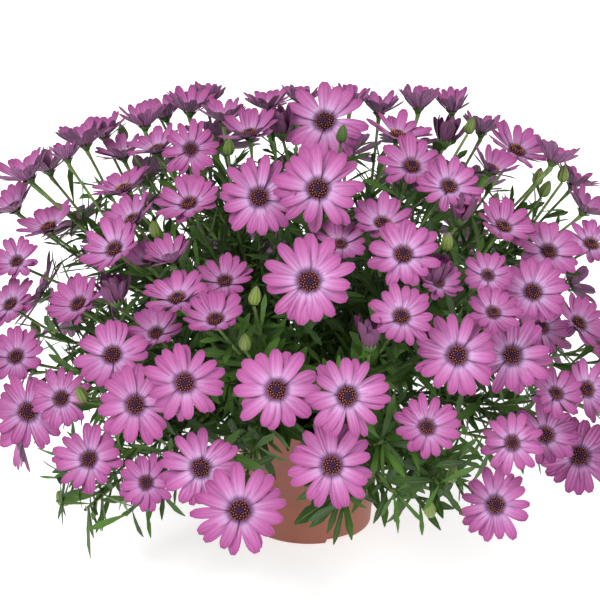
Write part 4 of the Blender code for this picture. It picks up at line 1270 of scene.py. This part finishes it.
# A leaf's outline widens as a power of a sine up to its widest, then closes as an ellipse does. The
# teeth stand out and in by turns beyond its middle.
leaf_v = np.linspace(0.0, 1.0, LEAF_ROWS)
leaf_widens = np.clip(leaf_v / LEAF_WIDEST_AT, 0.0, 1.0)
leaf_closes = np.clip((leaf_v - LEAF_WIDEST_AT) / LEAF_CLOSES_OVER, 0.0, 1.0)
leaf_toothed = (leaf_v > TEETH_BETWEEN[0]) & (leaf_v < TEETH_BETWEEN[1])
leaf_teeth = ((np.arange(LEAF_ROWS) % 2) * 2 - 1) * leaf_toothed
leaf_outline = LEAF_FOOT + (1.0 - LEAF_FOOT) * np.sin(0.5 * math.pi * leaf_widens) ** 1.6
leaf_outline *= np.sqrt(1.0 - leaf_closes**2)
leaf_outline *= 1.0 + LEAF_TOOTH * leaf_teeth
leaf_count = len(leaf_root)
leaf_half = 0.5 * LEAF_WIDTH * leaf_size * LEAF_DRAW.uniform(*FINE_LEAF_WIDTHS, leaf_count)
leaf_bend = LEAF_DRAW.normal(*FINE_LEAF_BEND, leaf_count)
leaf_twist = LEAF_DRAW.normal(0.0, FINE_LEAF_TWIST, leaf_count)
leaf_tones = LEAF_DRAW.uniform(0.0, 1.0, leaf_count)
leaf_top, leaf_bottom = strap(leaf_root, leaf_way, leaf_up, LEAF_LENGTH * leaf_size, leaf_half, leaf_bend,
                              leaf_outline, LEAF_FOLD, FINE_LEAF_THICKNESS, leaf_twist, LEAF_COLUMNS)
leafy = Finish("green leaf", Roughness=0.50, Specular_IOR_Level=0.28)
leaf_across, _, leaf_under, leaf_tone = strap_marks(leafy)
leaf_rib = 1.0 - abs(leaf_across).rise(0.03, 0.16)
leaf_cloud = leafy.noise(240.0, 3.0)
leaf_body = leafy.mix(leaf_tone.rise(0.0, 1.0), LEAF_DARK, LEAF_LIGHT)
leaf_body = leafy.mix(0.22 * leaf_cloud, leaf_body, LEAF_FLECK)
leaf_body = leafy.mix(0.40 * leaf_rib, leaf_body, LEAF_RIB)
leafy.set(Base_Color=leafy.mix(0.40 * leaf_under, leaf_body, LEAF_UNDER))
leafy.bump(leaf_cloud - 0.8 * leaf_rib, 0.0004)
for name, chosen in (("left_leaves", leaf_root[:, 0] < 0.0), ("right_leaves", leaf_root[:, 0] >= 0.0)):
    leaves = straps_piece(name, leaf_top[chosen], leaf_bottom[chosen], leaf_tones[chosen], leafy)
    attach(leaves, "root")

# The flower heads' petals
# Sixteen to eighteen strap-shaped petals to a head, in two slightly overlapping layers: pink-mauve above,
# paler in their middle, with purple streaks at the base, and dull grey-purple below.

PETAL_ROWS = 9
PETAL_COLUMNS = 4
PETAL_ROOT = 0.13
PETAL_THICK = 0.0006
PETAL_HALF_SHARE = 0.152
PETALS_USUAL = 17.0
PETAL_FOOT = 0.36
PETAL_WIDENS_UNTIL = 0.66
PETAL_NARROWS_FROM = 0.72
PETAL_NARROWS_OVER = 0.30
PETALS_IN_HEAD = (16, 17, 18)
LIFT_OF_CUP = 0.80
BEND_OF_CUP = 0.40
HEAD_LIFT_SPREAD = 0.02
HEAD_BEND_SPREAD = 0.06
HEAD_TONES = (0.0, 0.8)
PETAL_TURN_SPREAD = 0.085
PETAL_LIFT_SPREAD = 0.085
PETAL_BEND_SPREAD = 0.16
PETAL_TWIST_SPREAD = 0.16
PETAL_LENGTHS = (0.84, 1.03)
PETAL_WIDTHS = (0.82, 1.08)
PETAL_FOLDS = (0.05, 0.38)
PETAL_TONES = (-0.3, 0.3)
PETAL_ABOVE_MIDDLE = 0.0008
PETAL_LAYER_GAP = 0.0011
PETAL_DRAW = np.random.default_rng(31)

# Each petal's deep, middle and pale colours above, and its colour below.
FRESH_PETAL = ((0.350, 0.060, 0.235), (0.480, 0.160, 0.395), (0.620, 0.380, 0.660), (0.340, 0.150, 0.300))
PETAL_STREAK = (0.085, 0.008, 0.080)
PETAL_UNDER_VEIN = (0.170, 0.060, 0.150)


def raised_by(lift, out, way):
    """Ways out raised towards the axis by the lift, and the ways square to them on their upper side."""
    cosine, sine = np.cos(lift)[:, None], np.sin(lift)[:, None]
    return cosine * out + sine * way, cosine * way - sine * out


def petal_finish(name, deep, middle, pale, under):
    """A petal's satin: a pale middle and a deeper tip, an edge that deepens partly in its own colour and
    partly with painted shade of the curled edges and the gaps between petals, two long grooves, purple
    streaks at the base, and a dull lower face with darker streaks."""
    finish = Finish(name, Roughness=0.55, Specular_IOR_Level=0.35)
    across, along, lower, tone = strap_marks(finish)
    edge = abs(across)
    groove = (across * 9.5).ripple()
    vein = (across * 30.0).ripple()
    body = finish.mix(along.rise(0.15, 0.62), pale, middle)
    body = finish.mix(along.rise(0.50, 1.0) * 0.90, body, deep)
    # Darker towards the edges beyond the base: partly the petal's own deeper margin, and partly painted
    # shade where the edges curl up and the petals part.
    body = finish.mix((0.22 * groove + 0.55 * edge.rise(0.55, 1.0)) * along.rise(0.1, 0.4), body, deep)
    body = finish.mix(tone * 0.50, body, deep)
    streak = (1.0 - along.rise(0.11, 0.27)) * (0.60 + 0.40 * vein)
    body = finish.mix(streak, body, PETAL_STREAK)
    back = finish.mix((1.0 - edge.rise(0.15, 0.65)) * 0.45 * (0.5 + 0.5 * vein), under, PETAL_UNDER_VEIN)
    finish.set(Base_Color=finish.mix(lower, body, back))
    finish.bump(groove + 0.35 * vein, 0.0006)
    return finish


head_centre, head_way, head_radius, head_cup, head_spin = (
    np.array([head[n] for head in heads_grown]) for n in range(1, 6))
head_count = len(heads_grown)
head_side = units(np.cross(head_way, BESIDE_HEAD))
head_other = np.cross(head_way, head_side)
head_petals = PETAL_DRAW.integers(PETALS_IN_HEAD[0], PETALS_IN_HEAD[-1] + 1, head_count)
head_lift = LIFT_OF_CUP * np.arcsin(head_cup) + PETAL_DRAW.normal(0.0, HEAD_LIFT_SPREAD, head_count)
head_bend = BEND_OF_CUP * np.arcsin(head_cup) + PETAL_DRAW.normal(0.0, HEAD_BEND_SPREAD, head_count)
head_tone = PETAL_DRAW.uniform(*HEAD_TONES, head_count)

# One row to a petal from here on. of_head is the number of its head.
of_head = np.repeat(np.arange(head_count), head_petals)
petal_number = np.concatenate([np.arange(n) for n in head_petals])
petal_count = len(of_head)
petal_turn = head_spin[of_head] + petal_number * 2.0 * math.pi / head_petals[of_head]
petal_turn += PETAL_DRAW.normal(0.0, PETAL_TURN_SPREAD, petal_count)
petal_flat_out = turned_out(head_side[of_head], head_other[of_head], petal_turn)
petal_lift = head_lift[of_head] + PETAL_DRAW.normal(0.0, PETAL_LIFT_SPREAD, petal_count)
petal_out, petal_up = raised_by(petal_lift, petal_flat_out, head_way[of_head])
petal_above = PETAL_ABOVE_MIDDLE + PETAL_LAYER_GAP * (petal_number % 2)
petal_from = head_centre[of_head] + PETAL_ROOT * head_radius[of_head][:, None] * petal_flat_out
petal_from += petal_above[:, None] * head_way[of_head]
petal_length = head_radius[of_head] * (1.0 - PETAL_ROOT)
petal_length *= PETAL_DRAW.uniform(*PETAL_LENGTHS, petal_count)
petal_half = PETAL_HALF_SHARE * head_radius[of_head] * PETALS_USUAL / head_petals[of_head]
petal_half *= PETAL_DRAW.uniform(*PETAL_WIDTHS, petal_count)
petal_bend = head_bend[of_head] + PETAL_DRAW.normal(0.0, PETAL_BEND_SPREAD, petal_count)
petal_fold = PETAL_DRAW.uniform(*PETAL_FOLDS, petal_count)
petal_twist = PETAL_DRAW.normal(0.0, PETAL_TWIST_SPREAD, petal_count)
petal_tone = head_tone[of_head] + PETAL_DRAW.uniform(*PETAL_TONES, petal_count)

# A petal's outline widens as a power of a sine from its foot, and closes in a blunt round end.
petal_v = np.linspace(0.0, 1.0, PETAL_ROWS) ** 0.85
petal_widens = np.clip(petal_v / PETAL_WIDENS_UNTIL, 0.0, 1.0)
petal_narrows = np.clip((petal_v - PETAL_NARROWS_FROM) / PETAL_NARROWS_OVER, 0.0, 1.0)
petal_outline = PETAL_FOOT + (1.0 - PETAL_FOOT) * np.sin(0.5 * math.pi * petal_widens) ** 1.2
petal_outline *= np.sqrt(1.0 - petal_narrows**2.4)
petal_top, petal_bottom = strap(petal_from, petal_out, petal_up, petal_length, petal_half, petal_bend,
                                petal_outline, petal_fold, PETAL_THICK, petal_twist, PETAL_COLUMNS)
satin = petal_finish("pink-mauve petal", *FRESH_PETAL)
petals = straps_piece("petals", petal_top, petal_bottom, petal_tone, satin)
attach(petals, "root")
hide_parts(*branch_names)

# The eyes
# The middle of each head is a low cushion of tiny tube florets: blue-black buds inside, and round them a
# ring of open ones tipped with orange-yellow pollen, on a dark purple base.

FLORETS = 46
FLORET_RADIUS = 0.085
FLORET_DOME = 0.42
FLORET_FOOT = 0.16
FLORET_OPEN_AT = 0.72
FLORET_OPEN_WITHIN = 0.17
FLORET_SHUT_TALL = 0.8
FLORET_OPEN_TALLER = 0.9
EYE_RADIUS_SHARE = 0.215
EYE_RAISED = 0.16
EYE_RAISED_BY_LIFT = 0.55
CUSHION_ROWS = 6
CUSHION_SIDES = 16
CUSHION_RADIUS = 1.02
CUSHION_DOME = 0.50
CUSHION_FOOT = 0.02

FLORET_BUD = (0.030, 0.045, 0.150)
FLORET_TUBE = (0.060, 0.012, 0.028)
FLORET_POLLEN = (0.680, 0.270, 0.045)
CUSHION_COLOUR = (0.040, 0.008, 0.022, 1.0)


def set_on(centres, side, other, way, size, x, y, z):
    """Points given by two cross ways and height, scaled and set at each middle, for many at once."""
    place = x[..., None] * side[:, None] + y[..., None] * other[:, None] + z[..., None] * way[:, None]
    return centres[:, None] + size[:, None, None] * place


eye_size = EYE_RADIUS_SHARE * head_radius
eye_stands = (EYE_RAISED + EYE_RAISED_BY_LIFT * head_lift)[:, None]
eye_frame = (head_centre, head_side, head_other, head_way, eye_size)

# The florets' middles follow a golden-angle spiral over the cushion. Each is an eight-sided bead.
floret_number = np.arange(FLORETS)
floret_share = np.sqrt((floret_number + 0.5) / FLORETS)
floret_turn = floret_number * math.pi * (3.0 - math.sqrt(5.0))
floret_rise = FLORET_DOME * (1.0 - floret_share**2) + FLORET_FOOT
floret_open = abs(floret_share - FLORET_OPEN_AT) < FLORET_OPEN_WITHIN
bead_across = FLORET_RADIUS * np.array([(0, 0), (1, 0), (0, 1), (-1, 0), (0, -1), (0, 0)])
bead_height = np.array([-0.12, 0.06, 0.06, 0.06, 0.06, 0.20])
bead_faces = np.array([(0, 2, 1), (0, 3, 2), (0, 4, 3), (0, 1, 4),
                       (5, 1, 2), (5, 2, 3), (5, 3, 4), (5, 4, 1)])
floret_x = (floret_share * np.cos(floret_turn))[:, None] + bead_across[:, 0]
floret_y = (floret_share * np.sin(floret_turn))[:, None] + bead_across[:, 1]
floret_tall = FLORET_SHUT_TALL + FLORET_OPEN_TALLER * floret_open
floret_z = floret_rise[:, None] + bead_height * floret_tall[:, None]
floret_points = set_on(*eye_frame, floret_x.reshape(1, -1), floret_y.reshape(1, -1),
                       floret_z.reshape(1, -1) + eye_stands)
pollen = Finish("florets", Roughness=0.60, Specular_IOR_Level=0.15)
pollen_share, pollen_height, _, _ = pollen.marks("floret")
pollen_ring = pollen_share.rise(0.36, 0.52) * (1.0 - 0.45 * pollen_share.rise(0.80, 0.95))
pollen_base = pollen.mix(pollen_share.rise(0.2, 0.7), FLORET_BUD, FLORET_TUBE)
pollen.set(Base_Color=pollen.mix(pollen_ring * pollen_height.rise(0.40, 0.9), pollen_base, FLORET_POLLEN))
floret_faces = copies(bead_faces, len(bead_height), FLORETS * head_count)
eyes = surface("eye_florets", floret_points, floret_faces, pollen, smooth=False)
floret_marks = np.zeros((head_count, FLORETS, len(bead_height), 4))
floret_marks[..., 0] = floret_share[None, :, None]
floret_marks[..., 1] = np.array([0.0, 0.5, 0.5, 0.5, 0.5, 1.0])
marked(eyes, "floret", "POINT", floret_marks)

# The cushion's height falls with the square of the distance from its middle.
cushion_share = np.linspace(0.0, 1.0, CUSHION_ROWS)[:, None]
cushion_turn = even_turns(CUSHION_SIDES)
cushion_x = CUSHION_RADIUS * cushion_share * np.cos(cushion_turn)
cushion_y = CUSHION_RADIUS * cushion_share * np.sin(cushion_turn)
cushion_z = CUSHION_DOME * (1.0 - cushion_share**2) + CUSHION_FOOT + 0.0 * cushion_turn
cushion_points = set_on(*eye_frame, cushion_x.reshape(1, -1), cushion_y.reshape(1, -1),
                        cushion_z.reshape(1, -1) + eye_stands)
cushion_faces = copies(closed_grid(CUSHION_ROWS, CUSHION_SIDES)[:, ::-1], cushion_x.size, head_count)
dusk = Finish("eye cushion", Base_Color=CUSHION_COLOUR, Roughness=0.7, Specular_IOR_Level=0.1)
cushions = surface("eye_cushions", cushion_points, cushion_faces, dusk)
for piece in (eyes, cushions):
    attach(piece, "root")

# The cups under the heads, the buds and the closed heads
# Narrow pointed green bracts in one row hold each head from below, and wrap each bud to its tip. A bud
# about to open shows a little rolled pink. The closed heads are spent ones, their petals rolled upright.

BRACTS = 13
BRACT_ROWS = 5
BRACT_COLUMNS = 3
BRACT_HALF = 0.0019
BRACT_THICK = 0.0005
BRACT_FOLD = 0.1
BRACT_SHARE = 0.30
BRACT_LENGTHS = (0.85, 1.1)
BRACT_LIFT = 0.55
BRACT_LIFT_OF_HEAD = 0.7
BRACT_BEND = -0.30
BRACTS_BELOW_SHARE = 0.145
BRACTS_FROM_AXIS = 0.0012
LOW_BRACT_LENGTH = 0.0125
LOW_BRACTS_BELOW = 0.0125
LOW_BRACT_BEND = 0.75
LOW_BRACT_OUT = 0.75
LOW_BRACT_UP = 0.66
BUD_ROWS = 12
BUD_SIDES = 24
BUD_RIBS = 8.0
BUD_RIB_DEPTH = 0.07
BUD_WIDTH_SHARE = 0.80
BUD_NARROWS = 0.25
BUD_LENGTH = 0.0160
BUD_BELOW = 0.0068
ROLLED_PETALS = 15
ROLLED_COLUMNS = 4
ROLLED_HALF = 0.0040
ROLLED_BELOW = 0.0085
ROLLED_FROM_AXIS = 0.0030
ROLLED_LENGTHS = (0.021, 0.027)
ROLLED_LIFT = (0.95, 0.16)
ROLLED_BEND = (0.75, 0.30)
ROLLED_FOLDS = (0.2, 0.8)
ROLLED_TURN_SPREAD = 0.12
ROLLED_TWIST_SPREAD = 0.5
BRACT_DRAW = np.random.default_rng(53)

BUD_DARK = (0.060, 0.130, 0.018)
BUD_LIGHT = (0.230, 0.290, 0.045)
BUD_SEAM = (0.030, 0.060, 0.012)
BUD_PINK = (0.260, 0.050, 0.190)
BRACT_BASE = (0.060, 0.120, 0.025)
BRACT_TIP = (0.110, 0.150, 0.045)
SPENT_PETAL = ((0.150, 0.030, 0.110), (0.220, 0.065, 0.170), (0.300, 0.130, 0.250), (0.170, 0.055, 0.130))

bract_v = np.linspace(0.0, 1.0, BRACT_ROWS)
bract_outline = np.sqrt(np.clip(1.0 - bract_v**1.6, 0.0, 1.0)) * 0.95 + 0.05


def bracts(root, out, up, length, bend):
    """Straps of one width, whose outline closes to a point."""
    return strap(root, out, up, length, BRACT_HALF, bend, bract_outline, BRACT_FOLD, BRACT_THICK, 0.0,
                 BRACT_COLUMNS)


# The row of bracts under each open head. of_cup is the number of a bract's head.
of_cup = np.repeat(np.arange(head_count), BRACTS)
cup_out = turned_out(head_side[of_cup], head_other[of_cup], np.tile(even_turns(BRACTS), head_count))
cup_below = BRACTS_BELOW_SHARE * head_radius[of_cup][:, None]
cup_root = head_centre[of_cup] - cup_below * head_way[of_cup] + BRACTS_FROM_AXIS * cup_out
cup_start, cup_up = raised_by(BRACT_LIFT + BRACT_LIFT_OF_HEAD * head_lift[of_cup], cup_out, head_way[of_cup])
cup_length = head_radius[of_cup] * BRACT_SHARE * BRACT_DRAW.uniform(*BRACT_LENGTHS, len(of_cup))
cup_top, cup_bottom = bracts(cup_root, cup_start, cup_up, cup_length, BRACT_BEND)

small_ones = [s for s in stalks if s[0] in ("bud", "closed")]
is_bud = np.array([s[0] == "bud" for s in small_ones])
small_centre, small_way = (np.array([s[n] for s in small_ones]) for n in (1, 2))
small_side = units(np.cross(small_way, BESIDE_HEAD))
small_other = np.cross(small_way, small_side)
bud_count, closed_count = int(is_bud.sum()), int((~is_bud).sum())

# A bud's radius rises and falls as a sine does, and eight shallow ribs run up it.
bud_v = np.linspace(0.0, 1.0, BUD_ROWS)[:, None]
bud_turn = even_turns(BUD_SIDES)
bud_rib_wave = np.cos(BUD_RIBS * bud_turn)
bud_wide = BUD_WIDTH_SHARE * BUD_RADIUS * np.sin(math.pi * bud_v**0.80) ** 0.62
bud_wide = bud_wide * (1.0 - BUD_NARROWS * bud_v) * (1.0 + BUD_RIB_DEPTH * bud_rib_wave)
bud_x, bud_y = bud_wide * np.cos(bud_turn), bud_wide * np.sin(bud_turn)
bud_z = BUD_LENGTH * bud_v - BUD_BELOW + 0.0 * bud_turn
bud_frame = (a[is_bud] for a in (small_centre, small_side, small_other, small_way))
bud_points = set_on(*bud_frame, np.ones(bud_count), *(a.reshape(1, -1) for a in (bud_x, bud_y, bud_z)))
budding = Finish("green bud", Roughness=0.50)
bud_up, bud_rib, bud_tone, _ = budding.marks("bud")
bud_green = budding.mix(bud_tone, BUD_DARK, BUD_LIGHT)
bud_green = budding.mix(0.6 * (1.0 - bud_rib), bud_green, BUD_SEAM)
bud_opening = bud_up.rise(0.74, 0.92) * bud_tone.rise(0.75, 0.9)
budding.set(Base_Color=budding.mix(bud_opening, bud_green, BUD_PINK))
budding.bump(bud_rib, 0.0006)
buds = surface("buds", bud_points, copies(closed_grid(BUD_ROWS, BUD_SIDES), bud_x.size, bud_count), budding)
bud_marks = np.zeros((bud_count, BUD_ROWS, BUD_SIDES, 4))
bud_marks[..., 0] = bud_v[None]
bud_marks[..., 1] = 0.5 + 0.5 * bud_rib_wave
bud_marks[..., 2] = BRACT_DRAW.uniform(0.0, 1.0, bud_count)[:, None, None]
marked(buds, "bud", "POINT", bud_marks)

# The rolled petals of the closed heads, and the bracts round them.
of_closed = np.repeat(np.flatnonzero(~is_bud), ROLLED_PETALS)
closed_turn = np.tile(even_turns(ROLLED_PETALS), closed_count)
closed_turn = closed_turn + BRACT_DRAW.normal(0.0, ROLLED_TURN_SPREAD, len(of_closed))
closed_out = turned_out(small_side[of_closed], small_other[of_closed], closed_turn)
closed_lift = BRACT_DRAW.normal(*ROLLED_LIFT, len(of_closed))
closed_start, closed_up = raised_by(closed_lift, closed_out, small_way[of_closed])
closed_root = small_centre[of_closed] - ROLLED_BELOW * small_way[of_closed] + ROLLED_FROM_AXIS * closed_out
closed_length = BRACT_DRAW.uniform(*ROLLED_LENGTHS, len(of_closed))
closed_bend = BRACT_DRAW.normal(*ROLLED_BEND, len(of_closed))
closed_fold = BRACT_DRAW.uniform(*ROLLED_FOLDS, len(of_closed))
closed_twist = BRACT_DRAW.normal(0.0, ROLLED_TWIST_SPREAD, len(of_closed))
closed_tone = BRACT_DRAW.uniform(0.0, 1.0, len(of_closed))
closed_top, closed_bottom = strap(closed_root, closed_start, closed_up, closed_length, ROLLED_HALF,
                                  closed_bend, petal_outline, closed_fold, PETAL_THICK, closed_twist,
                                  ROLLED_COLUMNS)
spent = petal_finish("spent petal", *SPENT_PETAL)
closed_heads = straps_piece("closed_heads", closed_top, closed_bottom, closed_tone, spent)

of_low = np.repeat(np.flatnonzero(~is_bud), BRACTS)
low_way = small_way[of_low]
low_out = turned_out(small_side[of_low], small_other[of_low], np.tile(even_turns(BRACTS), closed_count))
low_start = LOW_BRACT_OUT * low_out + LOW_BRACT_UP * low_way
low_up = LOW_BRACT_OUT * low_way - LOW_BRACT_UP * low_out
low_root = small_centre[of_low] - LOW_BRACTS_BELOW * low_way + BRACTS_FROM_AXIS * low_out
low_length = np.full(len(of_low), LOW_BRACT_LENGTH)
low_top, low_bottom = bracts(low_root, low_start, low_up, low_length, LOW_BRACT_BEND)
bract_green = Finish("green bract", Roughness=0.5)
_, bract_along, _, _ = strap_marks(bract_green)
bract_green.set(Base_Color=bract_green.mix(bract_along.rise(0.5, 1.0), BRACT_BASE, BRACT_TIP))
cup_tone = BRACT_DRAW.uniform(0.0, 1.0, len(of_cup) + len(of_low))
cups = straps_piece("cups", np.concatenate([cup_top, low_top]), np.concatenate([cup_bottom, low_bottom]),
                    cup_tone, bract_green)
for piece in (cups, buds, closed_heads):
    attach(piece, "root")

# The floor, the light and the camera
# A white sweep under soft studio light, and the camera at the photograph's height, in front of the pot.

FLOOR_REACH = 6.0
FLOOR_COLOUR = (0.93, 0.93, 0.93, 1.0)
FLOOR_GLOW = 0.60
SKY_STRENGTH = 0.62
CAMERA_LENS = 129.7
WHITE = (1.0, 1.0, 1.0, 1.0)

plain = Finish("white floor", Base_Color=FLOOR_COLOUR, Roughness=0.85, Emission_Color=WHITE,
               Emission_Strength=FLOOR_GLOW)
floor_corners = FLOOR_REACH * np.array([(-1, -1, 0), (1, -1, 0), (1, 1, 0), (-1, 1, 0)])
floor = surface("floor", floor_corners, np.array([(0, 1, 2, 3)]), plain, smooth=False)

sky = bpy.data.worlds.new("studio")
sky.use_nodes = True
sky_light = sky.node_tree.nodes["Background"]
sky_light.inputs["Color"].default_value = WHITE
sky_light.inputs["Strength"].default_value = SKY_STRENGTH
bpy.context.scene.world = sky


def soft_box(name, place, size, power):
    """A square lamp at a place, aimed at the middle of the bush."""
    lamp = bpy.data.lights.new(name, "AREA")
    lamp.energy = power
    lamp.size = size
    holder = bpy.data.objects.new(name, lamp)
    holder.location = place
    x, y, z = LOOKED_AT - np.array(place)
    holder.rotation_euler = (math.atan2(math.hypot(x, y), -z), 0.0, math.atan2(x, -y) + math.pi)
    bpy.context.scene.collection.objects.link(holder)


soft_box("key light", (-1.0, -1.7, 2.1), 1.0, 58.0)
soft_box("fill light", (1.5, -1.3, 1.2), 1.2, 14.0)

camera = bpy.data.objects.new("camera", bpy.data.cameras.new("camera"))
camera.data.lens = CAMERA_LENS
camera.location = EYE
camera.rotation_euler = (math.radians(90.0) - EYE_ELEVATION, 0.0, 0.0)
bpy.context.scene.collection.objects.link(camera)
bpy.context.scene.camera = camera
bpy.context.scene.view_settings.view_transform = "Standard"
